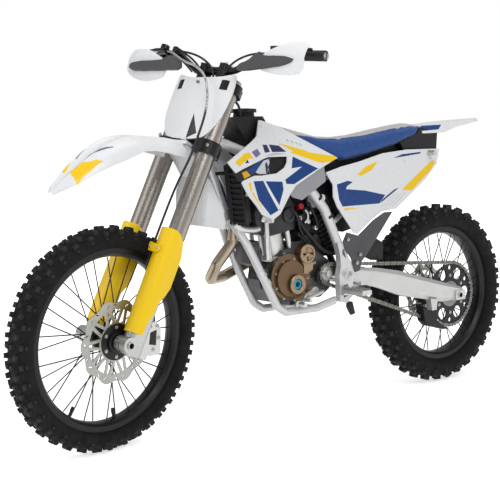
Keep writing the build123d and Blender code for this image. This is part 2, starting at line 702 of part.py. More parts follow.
with BuildPart() as crankcase:
    with BuildSketch(side_plane(CASE_HALF)) as case_side:
        outline([(272, 566), (330, 520), (340, 452), (300, 396), (90, 396), (44, 424), (46, 520), (110, 560),
                 (180, 596), (250, 596)])
        fillet(case_side.vertices(), 12)
    extrude(amount=2 * CASE_HALF)
    with BuildSketch(side_plane(CASE_HALF + 8)) as case_rim:
        outline([(320, 512), (330, 452), (292, 404), (150, 404), (140, 470), (150, 560), (190, 588),
                 (246, 588)])
        fillet(case_rim.vertices(), 14)
    extrude(amount=2 * CASE_HALF + 16)
    with BuildSketch(side_plane(30)):
        outline([(330, 500), (352, 478), (340, 444), (322, 452)])
        outline([(180, 400), (220, 400), (214, 378), (186, 378)])
    extrude(amount=60)
    with BuildSketch(side_plane(40)):
        with Locations((PIVOT_X, PIVOT_H)):
            Circle(PIVOT_TUBE_R + MOVING_GAP)
    extrude(amount=80, mode=Mode.SUBTRACT)
    with BuildSketch(bore_plane(BASE_R)):
        Rectangle(200, 200)
    extrude(amount=200, mode=Mode.SUBTRACT)
    add(cradle_clear, mode=Mode.SUBTRACT)
    add(cradle_clear.mirror(Plane.XZ), mode=Mode.SUBTRACT)
write(crankcase.part, "crankcase")

with BuildPart() as cylinder:
    with BuildSketch(bore_plane(BASE_R)) as foot:
        RectangleRounded(118, 98, 14)
    extrude(amount=12)
    with BuildSketch(bore_plane(BASE_R + 12)):
        RectangleRounded(92, 90, 30)
    extrude(amount=CYLINDER_HEIGHT - 12)
    with BuildSketch(bore_plane(BASE_R)):
        with GridLocations(84, 82, 2, 2):
            Circle(7)
    extrude(amount=CYLINDER_HEIGHT)
    with BuildSketch(bore_plane(BASE_R)):
        with Locations((-6, 46)):
            RectangleRounded(46, 26, 8)
    extrude(amount=CYLINDER_HEIGHT)
write(cylinder.part, "cylinder")

head_foot_up = BASE_R + CYLINDER_HEIGHT
with BuildPart() as cylinder_head:
    with BuildSketch(bore_plane(head_foot_up)):
        RectangleRounded(98, 112, 16)
    extrude(amount=HEAD_HEIGHT)
    with BuildSketch(bore_plane(head_foot_up + HEAD_HEIGHT)):
        RectangleRounded(90, 104, 24)
    extrude(amount=COVER_HEIGHT, taper=14)
    with BuildSketch(Plane(origin=BORE_FOOT + bore_up * (head_foot_up + 30) + bore_side * 40,
                           z_dir=bore_side)):
        RectangleRounded(50, 50, 12)
    extrude(amount=20)
    with BuildSketch(Plane(origin=BORE_FOOT + bore_up * (head_foot_up + 40) - bore_side * 40,
                           z_dir=-bore_side)):
        Circle(27)
    extrude(amount=26)
write(cylinder_head.part, "cylinder_head")

GENERATOR_Y = 84.0
with BuildPart() as engine_covers:
    for y, spots in ((GENERATOR_Y - 16, ((CRANK_X + 14, CRANK_H + 12, 78), (CRANK_X - 20, CRANK_H - 10, 62))),
                     (GENERATOR_Y - 6, ((CRANK_X + 10, CRANK_H + 6, 62), (CRANK_X - 10, CRANK_H - 12, 46)))):
        with BuildSketch(side_plane(y)):
            for x, height, r in spots:
                with Locations((x, height)):
                    Circle(r)
            make_hull()
        extrude(amount=y - CASE_HALF - 8)
    with BuildSketch(side_plane(GENERATOR_Y + 4)):
        with Locations((CRANK_X - 8, CRANK_H - 14)):
            Circle(33)
            Circle(17, mode=Mode.SUBTRACT)
    extrude(amount=20)
    with BuildSketch(side_plane(GENERATOR_Y - 4)):
        with Locations((180, 556)):
            Circle(33)
    extrude(amount=GENERATOR_Y - 4 - CASE_HALF - 8)
    with BuildSketch(side_plane(GENERATOR_Y + 2)):
        with Locations((180, 556)):
            Circle(33)
            Circle(24, mode=Mode.SUBTRACT)
            Rectangle(56, 6)
            Rectangle(6, 56)
    extrude(amount=8)
    with BuildSketch(side_plane(-CASE_HALF - 8)):
        for x, height, r in ((150, 480, 76), (246, 470, 64)):
            with Locations((x, height)):
                Circle(r)
        make_hull()
    extrude(amount=26)
    with BuildSketch(side_plane(-CASE_HALF - 34)):
        with Locations((142, 482)):
            Circle(68)
    extrude(amount=16)
    with BuildSketch(side_plane(-CASE_HALF - 34)):
        with Locations((262, 446)):
            Circle(32)
    extrude(amount=22)
    add(cradle_clear, mode=Mode.SUBTRACT)
    add(cradle_clear.mirror(Plane.XZ), mode=Mode.SUBTRACT)
    add(cradle_tubes.part, mode=Mode.SUBTRACT)
write(engine_covers.part, "engine_covers")

# ---- exhaust and intake -------------------------------------------------------------------------
port = BORE_FOOT + bore_up * (head_foot_up + 30) + bore_side * (60 + FIT_GAP)
header_route = [
    port, port + bore_side * 20, place(430, -4, 610), place(478, -28, 540), place(478, -74, 482),
    place(384, -124, 480), place(240, -126, 530), place(60, -128, 640), place(-70, -117, 716),
    place(-184, SILENCER_Y, 762),
]
with BuildPart() as exhaust_header:
    add(tube(header_route, 20, HEADER_R))
write(exhaust_header.part, "exhaust_header")

SILENCER_DIP = 14.0
silencer_back = Vector(-cos(radians(SILENCER_DIP)), 0, sin(radians(SILENCER_DIP)))
silencer_foot = header_route[-1] - silencer_back * 12
with BuildPart() as silencer:
    for along, tall, wide in ((0, 24, 24), (46, 60, 41), (400, 62, 43), (440, 34, 30)):
        with BuildSketch(Plane(origin=silencer_foot + silencer_back * along, x_dir=(0, 1, 0),
                               z_dir=silencer_back)):
            RectangleRounded(2 * wide, 2 * tall, min(wide, tall) * 0.8)
    loft(ruled=True)
    with BuildSketch(Plane(origin=silencer_foot + silencer_back * 441, z_dir=silencer_back)):
        Circle(20)
    extrude(amount=-40, mode=Mode.SUBTRACT)
    add(exhaust_header.part, mode=Mode.SUBTRACT)
write(silencer.part, "silencer")

# ---- seat and tank --------------------------------------------------------------------------------
seat_stations = [
    (338, 1008, 986, 40), (290, 1000, 962, 54), (240, 986, 937, 64), (100, 953, 892, 82), (0, 948, 866, 90),
    (-120, 957, 886, SEAT_HALF_WIDTH), (-260, 980, 918, 90), (-370, 997, 955, 82), (-405, 1000, 980, 66),
]
with BuildPart() as seat:
    for x, top, bottom, half in seat_stations:
        deep = top - bottom
        with BuildSketch(cross_plane(x)):
            outline(both_sides([(0, bottom), (half - 6, bottom), (half, bottom + deep * 0.3),
                                (half - 5, top - deep * 0.24), (half * 0.66, top - 4), (0, top)]))
    loft(ruled=True)
write(seat.part, "seat")
under_seat = [(x, bottom - FIT_GAP) for x, top, bottom, half in seat_stations]

CAP_X = 378.0
TANK_TOP = 1020.0
with BuildPart() as fuel_tank:
    with BuildSketch(side_plane(68)):
        outline([(462, TANK_TOP - 6), (424, TANK_TOP), (348, TANK_TOP), (338, 1005)] + under_seat[:4]
                + [(100, 838), (250, 812), (330, 850), (400, 890), (412, 940)])
    extrude(amount=136)
    with BuildSketch(plan_plane(700)):
        outline([(90, 68), (300, 68), (470, 48), (470, -48), (300, -68), (90, -68)])
    extrude(amount=400, mode=Mode.INTERSECT)
    with BuildSketch(side_plane(SUBFRAME_Y - SUBFRAME_TUBE_R)):
        outline([(90, 900), (90, 780), (240, 780), (240, 830), (160, 860)])
    extrude(amount=10, mode=Mode.SUBTRACT)
    add(main_left_clear, mode=Mode.SUBTRACT)
    add(main_left_clear.mirror(Plane.XZ), mode=Mode.SUBTRACT)
write(fuel_tank.part, "fuel_tank")

with BuildPart() as fuel_cap:
    with BuildSketch(Plane(origin=place(CAP_X, 0, TANK_TOP))):
        Circle(40)
    extrude(amount=8)
    with BuildSketch(Plane(origin=place(CAP_X, 0, TANK_TOP))):
        outline(toothed(16, 37, 33, 0.6, 0))
    extrude(amount=28)
write(fuel_cap.part, "fuel_cap")

# ---- airbox, tail box and shock ----------------------------------------------------------------------
with BuildPart() as intake:
    with BuildSketch(side_plane(SUBFRAME_Y - SUBFRAME_TUBE_R - 4)):
        outline([(66, 874), (62, 752), (-60, 748), (-130, 700), (-190, 700), (-330, 858), (-300, 926)]
                + under_seat[6:3:-1])
    extrude(amount=2 * (SUBFRAME_Y - SUBFRAME_TUBE_R - 4))
    add(rod(place(60, 0, 800), BORE_FOOT + bore_up * (head_foot_up + 40) - bore_side * (66 + FIT_GAP), 26))
    add(main_tubes.part, mode=Mode.SUBTRACT)
    add(cylinder_head.part, mode=Mode.SUBTRACT)
write(intake.part, "intake")

TAIL_HALF = 70.0
rail_clear = tube(rail_route, 60, SUBFRAME_TUBE_R + FIT_GAP)
with BuildPart() as tail_box:
    with BuildSketch(side_plane(TAIL_HALF)):
        outline([(-290, 926), (-330, 866), (-440, 884), (-484, 892), (-490, 962)] + under_seat[8:5:-1])
    extrude(amount=2 * TAIL_HALF)
    with BuildSketch(side_plane(56)):
        outline([(-407, 940), (-492, 940), (-492, 988), (-407, 981.4)])
    extrude(amount=112)
    add(intake.part, mode=Mode.SUBTRACT)
    add(rail_clear, mode=Mode.SUBTRACT)
    add(rail_clear.mirror(Plane.XZ), mode=Mode.SUBTRACT)
    add(subframe.part, mode=Mode.SUBTRACT)
write(tail_box.part, "tail_box")

SPRING_R = 31.0
shock_down = (SHOCK_FOOT - SHOCK_TOP).normalized()
shock_run = (SHOCK_FOOT - SHOCK_TOP).length
coil = 17.0
coil_profile = [(0, 62), (SPRING_R, 62)]
for number in range(9):
    start = 66 + number * coil
    coil_profile += [(SPRING_R - 7, start), (SPRING_R, start + 5), (SPRING_R, start + 9),
                     (SPRING_R - 7, start + 14)]
coil_profile += [(SPRING_R, 222), (0, 222)]
with BuildPart() as rear_shock:
    with BuildSketch(Plane(origin=SHOCK_TOP, x_dir=(0, 1, 0), z_dir=Vector(0, 1, 0).cross(shock_down))):
        outline([(r, along) for r, along in coil_profile])
    revolve(axis=Axis(SHOCK_TOP, shock_down))
    add(rod(SHOCK_TOP, SHOCK_TOP + shock_down * 70, 21))
    add(rod(SHOCK_TOP + shock_down * 200, SHOCK_FOOT, 12))
    with BuildSketch(wheel_plane(SHOCK_FOOT, 18 - FIT_GAP)):
        Circle(15)
    extrude(amount=36 - 2 * FIT_GAP)
    for centre, half, bore in ((SHOCK_TOP, 40, SHOCK_BAR_R), (SHOCK_FOOT, 30, SHOCK_PIN_R)):
        with BuildSketch(wheel_plane(centre, half)):
            Circle(bore + PIN_GAP)
        extrude(amount=2 * half, mode=Mode.SUBTRACT)
write(rear_shock.part, "rear_shock")

# ---- radiators and bodywork --------------------------------------------------------------------------
RADIATOR_YAW = 25.0
RADIATOR_LEAN = 11.0
RADIATOR_WIDTH = 64.0
RADIATOR_DEPTH = 30.0
RADIATOR_TALL = 198.0
SIDE_TANK = 16.0
lean_cos = cos(radians(RADIATOR_LEAN))
radiator_corner = place(474, 39, 670)
radiator_across = Vector(-sin(radians(RADIATOR_YAW)), cos(radians(RADIATOR_YAW)), 0)
radiator_front = Vector(cos(radians(RADIATOR_YAW)) * lean_cos, sin(radians(RADIATOR_YAW)) * lean_cos,
                        -sin(radians(RADIATOR_LEAN)))
radiator_up = radiator_front.cross(radiator_across)
radiator_middle = radiator_corner + radiator_across * (RADIATOR_WIDTH / 2) + radiator_up * (RADIATOR_TALL / 2)
boss_at = radiator_middle + radiator_up * 70 - radiator_across * 20
with BuildPart() as radiator_left:
    with BuildSketch(Plane(origin=radiator_middle, x_dir=radiator_across, z_dir=-radiator_front)):
        RectangleRounded(RADIATOR_WIDTH, RADIATOR_TALL, 5)
    extrude(amount=RADIATOR_DEPTH)
    with BuildSketch(Plane(origin=radiator_middle - radiator_front * RADIATOR_DEPTH, x_dir=radiator_across,
                           z_dir=radiator_front)):
        with GridLocations(0, 10, 1, 14):
            Rectangle(RADIATOR_WIDTH - 14, 3)
    extrude(amount=4, mode=Mode.SUBTRACT)
    tube_share = (head_joint.Z - boss_at.Z) / (head_joint.Z - split_joint.Z)
    tube_middle = head_joint + (split_joint - head_joint) * tube_share
    add(rod(boss_at - radiator_front * 14, tube_middle, 6))
    add(rod(head_joint, split_joint, DOWN_TUBE_R + FIT_GAP), mode=Mode.SUBTRACT)
    add(cradle_clear, mode=Mode.SUBTRACT)
with BuildPart() as radiators:
    add(radiator_left.part)
    mirror(about=Plane.XZ)
write(radiators.part, "radiators")

with BuildPart() as radiator_guards:
    with BuildSketch(Plane(origin=radiator_middle + radiator_front * FIT_GAP, x_dir=radiator_across,
                           z_dir=radiator_front)):
        with Locations((SIDE_TANK / 2, 0)):
            RectangleRounded(RADIATOR_WIDTH - SIDE_TANK, RADIATOR_TALL, 5)
            with GridLocations(0, 18, 1, 10):
                Rectangle(RADIATOR_WIDTH - SIDE_TANK - 10, 10, mode=Mode.SUBTRACT)
    extrude(amount=7)
    mirror(about=Plane.XZ)
write(radiator_guards.part, "radiator_guards")

SKIN_LEAN = 0.2
SKIN_BASE = 690.0
skin_plan = [(600, 178), (470, 155), (378, 136), (40, 132)]


def skin_y(x, height):
    """Outside of the shroud's skin at a place in side view."""
    for (x1, y1), (x2, y2) in zip(skin_plan, skin_plan[1:]):
        if x >= x2:
            return y2 + (y1 - y2) * (x - x2) / (x1 - x2) - SKIN_LEAN * (height - SKIN_BASE)


shroud_outline = [(368, 1007), (376, 1006), (389, 973), (396, 955), (420, 940), (553, 874), (521, 839),
                  (491, 820), (500, 808), (489, 786), (476, 765), (446, 733), (424, 704), (390, 690),
                  (371, 686), (340, 702), (319, 726), (287, 762), (256, 790), (146, 839), (47, 878),
                  (110, 906), (203, 946), (290, 984)]
vent_outline = [(570, 824), (518, 841), (485, 852), (441, 864), (395, 877), (358, 887), (276, 887),
                (281, 866), (295, 850), (331, 833), (396, 828), (434, 829), (487, 816), (540, 796)]
shroud_skin = panel(shroud_outline, skin_plan, SKIN_LEAN, SKIN_BASE)
vent_hole = panel(vent_outline, [(x, y + 20) for x, y in skin_plan], SKIN_LEAN, SKIN_BASE, 40)
with BuildPart() as shroud_left:
    add(shroud_skin)
    add(vent_hole, mode=Mode.SUBTRACT)
    shroud_boss = radiator_middle + radiator_across * (RADIATOR_WIDTH / 2 + FIT_GAP) - radiator_front * 12
    boss_skin = Vector(shroud_boss.X, skin_y(shroud_boss.X, shroud_boss.Z - GROUND_Z) - 1, shroud_boss.Z)
    add(rod(shroud_boss, boss_skin, 6))
    add(rod(place(300, 68 + FIT_GAP, 930), place(300, skin_y(300, 930) - 1, 930), 8))
    add(radiators.part, mode=Mode.SUBTRACT)
with BuildPart() as shrouds:
    add(shroud_left.part)
    mirror(about=Plane.XZ)
write(shrouds.part, "shrouds")

inner_plan = [(x, y - PLASTIC - FIT_GAP) for x, y in skin_plan]
with BuildPart() as tank_panels:
    add(panel([(300, 785), (272, 752), (233, 742), (115, 800), (112, 858), (160, 845)], inner_plan, SKIN_LEAN,
              SKIN_BASE))
    add(panel([(508, 814), (440, 818), (380, 822), (338, 892), (392, 900), (466, 884), (530, 846)],
              inner_plan, SKIN_LEAN, SKIN_BASE, 3))
    mirror(about=Plane.XZ)
write(tank_panels.part, "tank_panels")

SIDE_LEAN = 0.06
SIDE_BASE = 600.0
side_plan = [(140, 112), (20, 110), (-160, 107), (-500, 97)]
left_outline = [(-490, 901), (-470, 843), (-408, 791), (-320, 738), (-235, 688), (-160, 683), (-111, 659),
                (-34, 611), (-16, 616), (59, 711), (74, 745), (73, 786), (103, 829), (28, 847), (-59, 862),
                (-181, 889), (-309, 900)]
right_outline = [(103, 829), (73, 786), (74, 745), (20, 724), (-40, 744), (-110, 780), (-180, 812),
                 (-229, 846), (-309, 868), (-309, 900), (-181, 889), (-59, 862), (28, 847)]
with BuildPart() as side_panels:
    add(panel(left_outline, side_plan, SIDE_LEAN, SIDE_BASE))
    add(panel(right_outline, side_plan, SIDE_LEAN, SIDE_BASE).mirror(Plane.XZ))
    for x, y, height, side in ((-60, 63, 831, 1), (-60, 63, 831, -1), (-290, 60, 865, 1),
                               (-270, 60, 862, -1)):
        add(rod(place(x, side * y, height), place(x, side * 92, height), 6))
    add(rail_clear, mode=Mode.SUBTRACT)
    add(rail_clear.mirror(Plane.XZ), mode=Mode.SUBTRACT)
    add(subframe.part, mode=Mode.SUBTRACT)
    add(intake.part, mode=Mode.SUBTRACT)
write(side_panels.part, "side_panels")

with BuildPart() as frame_guards:
    with BuildSketch(side_plane(CASTING_Y + FIT_GAP + PLASTIC)):
        outline([(20, 620), (38, 590), (28, 560), (2, 530), (-18, 478), (-40, 482), (-48, 512), (-75, 535),
                 (-205, 680), (-165, 680), (-110, 655), (-35, 605)])
    extrude(amount=PLASTIC)
    mirror(about=Plane.XZ)
write(frame_guards.part, "frame_guards")

with BuildPart() as rear_fender:
    for x, top, half, drop in [(-405 - FIT_GAP, 992, 76, 34), (-520, 1003, 76, 42), (-610, 1009, 64, 26),
                               (-734, 1015, 46, 14), (-786, 1018, 18, 12)]:
        with BuildSketch(cross_plane(x)):
            outline(arch(top, half, drop))
    loft(ruled=True)
    add(tail_box.part, mode=Mode.SUBTRACT)
write(rear_fender.part, "rear_fender")

# ---- controls for the feet ---------------------------------------------------------------------
PEG_X = 33.0
PEG_H = 418.0
with BuildPart() as foot_controls:
    with BuildSketch(Plane(origin=place(PEG_X, CASTING_Y + FIT_GAP, PEG_H), x_dir=(1, 0, 0),
                           z_dir=(0, 1, 0))):
        Rectangle(26, 30)
    extrude(amount=14)
    with BuildSketch(Plane(origin=place(PEG_X, CASTING_Y + 14, PEG_H + 2), x_dir=(1, 0, 0), z_dir=(0, 1, 0))):
        Rectangle(44, 16)
    extrude(amount=100)
    with BuildSketch(Plane(origin=place(PEG_X, CASTING_Y + 64, PEG_H + 20))):
        Rectangle(30, 86)
    extrude(amount=-40, mode=Mode.SUBTRACT)
    with BuildSketch(Plane(origin=place(PEG_X, CASTING_Y + 64, PEG_H - 6))):
        with GridLocations(0, 24, 1, 4):
            Rectangle(44, 5)
    extrude(amount=16)
    mirror(about=Plane.XZ)
    add(tube([place(122, CASE_HALF + FIT_GAP, 424), place(122, 100, 424), place(216, 108, 404),
              place(216, 140, 404)], 10, 6))
    add(rod(place(PEG_X, -CASTING_Y - FIT_GAP, 394), place(PEG_X, -CASTING_Y - 18, 394), 10))
    add(tube([place(PEG_X, -CASTING_Y - 10, 394), place(150, -CASTING_Y - 9, 388), place(214, -124, 394)],
             40, 7))
    add(rod(place(209, -104, 394), place(209, -142, 394), 9))
write(foot_controls.part, "foot_controls")

# ---- steering ------------------------------------------------------------------------------------
LOWER_CLAMP_HEIGHT = 42.0
UPPER_CLAMP_HEIGHT = 32.0
LOWER_CLAMP_UP = HEAD_LOW - 4 - LOWER_CLAMP_HEIGHT
UPPER_CLAMP_UP = HEAD_HIGH + 8
fork_spots = ((FORK_OFFSET, FORK_Y), (FORK_OFFSET, -FORK_Y))


def clamp(up, height):
    """Yoke that holds both fork tubes on the steering stem."""
    with BuildPart() as yoke:
        with BuildSketch(steer_plane(up)):
            with Locations(*fork_spots):
                Circle(FORK_TUBE_R + 9)
                with Locations((-FORK_TUBE_R - 8, 0)):
                    Rectangle(16, 24)
            outline([(FORK_OFFSET + 26, FORK_Y), (FORK_OFFSET + 14, 0), (FORK_OFFSET + 26, -FORK_Y),
                     (-22, -24), (-22, 24)])
            with Locations(*fork_spots):
                Circle(FORK_TUBE_R + PIN_GAP, mode=Mode.SUBTRACT)
        extrude(amount=height)
    return yoke.part


with BuildPart() as triple_clamps:
    add(clamp(LOWER_CLAMP_UP, LOWER_CLAMP_HEIGHT))
    add(clamp(UPPER_CLAMP_UP, UPPER_CLAMP_HEIGHT))
    with BuildSketch(steer_plane(LOWER_CLAMP_UP)):
        Circle(STEM_R)
    extrude(amount=UPPER_CLAMP_UP + UPPER_CLAMP_HEIGHT + 8 - LOWER_CLAMP_UP)
    with BuildSketch(steer_plane(UPPER_CLAMP_UP + UPPER_CLAMP_HEIGHT)):
        RegularPolygon(19, 6)
    extrude(amount=10)
write(triple_clamps.part, "triple_clamps", True)

TUBE_LOW = 716.0
TUBE_HIGH = UPPER_CLAMP_UP + UPPER_CLAMP_HEIGHT + 14
with BuildPart() as fork_tubes:
    with BuildSketch(steer_plane(TUBE_LOW)):
        with Locations(*fork_spots):
            Circle(FORK_TUBE_R)
            Circle(FORK_SLIDER_R + PIN_GAP, mode=Mode.SUBTRACT)
    extrude(amount=TUBE_HIGH - TUBE_LOW)
write(fork_tubes.part, "fork_tubes", True)

FOOT_TOP = AXLE_UP + 52
FOOT_LONG = 70.0
FOOT_WIDE = 48.0
foot_ahead = FORK_OFFSET + 14
with BuildPart() as fork_sliders:
    with BuildSketch(steer_plane(AXLE_UP - 22)):
        with Locations((FORK_OFFSET, FORK_Y)):
            Circle(FORK_SLIDER_R)
    extrude(amount=TUBE_HIGH - 6 - AXLE_UP + 22)
    with BuildSketch(steer_plane(AXLE_UP - 26)):
        with Locations((foot_ahead, FORK_Y)):
            RectangleRounded(FOOT_LONG, FOOT_WIDE, 22)
    extrude(amount=FOOT_TOP - AXLE_UP + 26)
    with BuildSketch(wheel_plane(FRONT_AXLE, FORK_Y + FOOT_WIDE / 2 + 3)):
        Circle(25)
    extrude(amount=FOOT_WIDE + 3)
    with BuildSketch(steer_plane(AXLE_UP)):
        with Locations((foot_ahead + 28, FORK_Y)):
            Rectangle(60, 3)
    extrude(amount=-40, mode=Mode.SUBTRACT)
    with BuildSketch(wheel_plane(FRONT_AXLE, FORK_Y + 40)):
        Circle(AXLE_R + PIN_GAP)
    extrude(amount=80, mode=Mode.SUBTRACT)
    mirror(about=Plane.XZ)
write(fork_sliders.part, "fork_sliders", True)

front_axle_half = FORK_Y + FOOT_WIDE / 2 + 7
front_axle = rod(FRONT_AXLE - Vector(0, front_axle_half, 0), FRONT_AXLE + Vector(0, front_axle_half, 0),
                 AXLE_R,
                 AXLE_BORE_R)
write(front_axle, "front_axle", True)

GUARD_INNER_R = 33.3
GUARD_LENGTH = 335.0
guard_centre = foot_ahead + FOOT_LONG / 2 + FIT_GAP - GUARD_INNER_R
CLIP_UP = 664.0
hose_clip = (guard_centre + 30, 60.5)
with BuildPart() as fork_guards:
    with BuildSketch(steer_plane(FOOT_TOP - 12)):
        with Locations((guard_centre, FORK_Y)):
            Circle(GUARD_INNER_R + PLASTIC)
        with Locations((guard_centre / 2, FORK_Y)):
            Rectangle(guard_centre, 2 * (GUARD_INNER_R + PLASTIC))
        with Locations((guard_centre, FORK_Y)):
            Circle(GUARD_INNER_R, mode=Mode.SUBTRACT)
        with Locations((guard_centre / 2, FORK_Y)):
            Rectangle(guard_centre + 8, 2 * GUARD_INNER_R, mode=Mode.SUBTRACT)
    extrude(amount=GUARD_LENGTH)
    with BuildSketch(Plane(origin=STEER_FOOT, x_dir=AHEAD, z_dir=(0, -1, 0))):
        outline([(-2, FOOT_TOP - 13), (-2, FOOT_TOP + 160), (8, FOOT_TOP + 128), (24, FOOT_TOP + 96),
                 (26, FOOT_TOP + 62), (guard_centre + 2, FOOT_TOP + 34), (guard_centre + 6, FOOT_TOP - 13)])
        outline([(-40, FOOT_TOP + 222), (-2, FOOT_TOP + 244), (14, FOOT_TOP + 296), (36, FOOT_TOP + 316),
                 (62, FOOT_TOP + 326), (-40, FOOT_TOP + 326)])
    extrude(amount=200, both=True, mode=Mode.SUBTRACT)
    mirror(about=Plane.XZ)
    with BuildSketch(steer_plane(CLIP_UP)):
        with Locations(hose_clip):
            Rectangle(24, 10)
            Circle(HOSE_R + FIT_GAP, mode=Mode.SUBTRACT)
    extrude(amount=16)
write(fork_guards.part, "fork_guards", True)

FENDER_FOOT_AHEAD = 62.0
skirt_stations = [(76, 1004, 56, 26, 10), (10, 982, 54, 30, 24), (-45, 952, 60, 34, 42),
                  (-100, 890, 60, 36, 48), (-166, 816, 46, 30, 48)]
with BuildPart() as front_fender:
    for x, top, half, drop in [(1136, 809, 20, 12), (1110, 838, 40, 20), (1060, 872, 58, 30),
                               (1000, 908, 68, 36), (930, 940, 73, 40), (850, 957, 75, 42),
                               (760, 957, 74, 40), (656, 938, 60, 30)]:
        with BuildSketch(cross_plane(FRONT_AXLE_X + x - 935)):
            outline(arch(top, half, drop))
    loft(ruled=True)
    with BuildSketch(steer_plane(LOWER_CLAMP_UP - FIT_GAP - 6)):
        with Locations((FENDER_FOOT_AHEAD - 34, 0)):
            Rectangle(76, 80)
    extrude(amount=6)
    with BuildSketch(steer_plane(LOWER_CLAMP_UP - FIT_GAP - 6)):
        with Locations((FENDER_FOOT_AHEAD, 0)):
            Rectangle(18, 80)
    extrude(amount=20)
    for ahead, up, half, drop, slope in skirt_stations:
        with BuildSketch(Plane(origin=steered(up, ahead, 0), x_dir=(0, 1, 0),
                               z_dir=AHEAD * cos(radians(slope)) + UP_AXIS * sin(radians(slope)))):
            outline(arch(0, half, drop))
    loft(ruled=True)
write(front_fender.part, "front_fender", True)

plate_plan = [(44, -134), (58, -96), (66, 0), (58, 96), (44, 134)]
with BuildPart() as number_plate:
    add(shield([(62, 1040), (96, 1062), (112, 1092), (130, 1150), (134, 1196), (124, 1262), (60, 1276),
                (-60, 1276), (-124, 1262), (-134, 1196), (-130, 1150), (-112, 1092), (-96, 1062),
                (-62, 1040)],
               plate_plan))
    with BuildSketch(face_plane(0)):
        for side in (-1, 1):
            outline([(side * 78, 1074), (side * 98, 1094), (side * 108, 1134), (side * 90, 1110)])
        with Locations((0, 1244)):
            SlotOverall(46, 12)
    extrude(amount=200, mode=Mode.SUBTRACT)
    with BuildSketch(steer_plane(UPPER_CLAMP_UP + 8)):
        outline([(FORK_OFFSET + 22, 12), (68, 12), (68, -12), (FORK_OFFSET + 22, -12)])
    extrude(amount=16)
    add(triple_clamps.part, mode=Mode.SUBTRACT)
write(number_plate.part, "number_plate", True)

bar_route = [
    steered(BAR_UP + 72, -13, BAR_HALF_WIDTH), steered(BAR_UP + 62, 16, 200), steered(BAR_UP, 24, 84),
    steered(BAR_UP, 24, -84), steered(BAR_UP + 62, 16, -200), steered(BAR_UP + 72, -13, -BAR_HALF_WIDTH),
]
RISER_TOP = BAR_UP + BAR_CENTRE_R + 6
with BuildPart() as handlebar:
    add(tube(bar_route, 50, BAR_R, BAR_BORE_R))
    add(rod(steered(BAR_UP, 24, -70), steered(BAR_UP, 24, 70), BAR_CENTRE_R))
    for side in (-1, 1):
        with BuildSketch(Plane(origin=steered(UPPER_CLAMP_UP + UPPER_CLAMP_HEIGHT, 24, side * 44),
                               x_dir=AHEAD,
                               z_dir=UP_AXIS)):
            RectangleRounded(40, 30, 6)
        extrude(amount=RISER_TOP - UPPER_CLAMP_UP - UPPER_CLAMP_HEIGHT)
write(handlebar.part, "handlebar", True)

left_end = bar_route[0]
left_bend = bar_route[1]
grip_along = (left_bend - left_end).normalized()
with BuildPart() as grips:
    add(rod(left_end - grip_along * 3, left_end + grip_along * GRIP_LENGTH, GRIP_R, BAR_R + PIN_GAP))
    add(rod(left_end + grip_along * (GRIP_LENGTH - 8), left_end + grip_along * GRIP_LENGTH, GRIP_R + 7,
            BAR_R + PIN_GAP))
    mirror(about=Plane.XZ)
write(grips.part, "grips", True)

shell_plan = [(80, 248), (84, 300), (78, 350), (66, 390), (56, 410)]
shell_face = [(258, 1300), (300, 1322), (350, 1352), (396, 1358), (404, 1330), (408, 1290), (404, 1268),
              (372, 1254), (300, 1256), (262, 1262)]
with BuildPart() as handguards:
    add(shield(shell_face, shell_plan))
    mirror(about=Plane.XZ)
write(handguards.part, "handguards", True)

PERCH_R = 18.0
bracket_plan = [(ahead + PLASTIC + FIT_GAP, y) for ahead, y in shell_plan]
BRACKET_THICK = 7.0
bracket_clamp = left_end + grip_along * (GRIP_LENGTH + 44)
with BuildPart() as handguard_brackets:
    add(shield([(196, 1250), (250, 1244), (330, 1262), (396, 1282), (396, 1300), (330, 1294), (270, 1300),
                (230, 1286), (196, 1276)], [(82, 190)] + bracket_plan, BRACKET_THICK))
    add(rod(bracket_clamp, bracket_clamp + grip_along * 14, PERCH_R, BAR_R + PIN_GAP))
    arm_root = bracket_clamp + grip_along * 7
    add(rod(arm_root + AHEAD * (BAR_R + 5), Vector(0, arm_root.Y, 0) + steered(1270, 88, 0), 6))
    mirror(about=Plane.XZ)
write(handguard_brackets.part, "handguard_brackets", True)

perch = left_end + grip_along * (GRIP_LENGTH + 22)
lever_root = perch + AHEAD * 46
with BuildPart() as hand_controls:
    add(rod(perch - grip_along * 12, perch + grip_along * 14, PERCH_R, BAR_R + PIN_GAP))
    add(rod(perch + AHEAD * (BAR_R + 3), lever_root, 8))
    add(tube([lever_root + grip_along * 12, lever_root - grip_along * 40 + AHEAD * 2,
              lever_root - grip_along * 128 - AHEAD * 10], 40, 6))
    mirror(about=Plane.XZ)
    right_perch = Vector(perch.X, -perch.Y, perch.Z)
    right_along = Vector(grip_along.X, -grip_along.Y, grip_along.Z)
    cylinder_end = right_perch + AHEAD * 34 + right_along * 12
    add(rod(cylinder_end - right_along * 46, cylinder_end, 10))
    add(rod(cylinder_end - right_along * 22, cylinder_end - right_along * 22 + UP_AXIS * 22, 15))
write(hand_controls.part, "hand_controls", True)

hose_start = cylinder_end + right_along * FIT_GAP
hose_route = [hose_start, hose_start + right_along * 18, steered(1324, 70, -168), steered(1290, 84, -92),
              steered(1272, 92, -20), steered(1236, 94, 44), steered(1170, 92, 86), steered(1104, 88, 102),
              steered(1030, 84, 101), steered(960, 76, 92), steered(860, 76, 74),
              steered(CLIP_UP + 60, *hose_clip), steered(CLIP_UP - 40, *hose_clip),
              steered(590, guard_centre + 12, 51), steered(520, -22, 50), steered(466, -52, 52),
              steered(440, -56, 62)]
front_brake_hose = tube(hose_route, 24, HOSE_R)
write(front_brake_hose, "front_brake_hose", True)

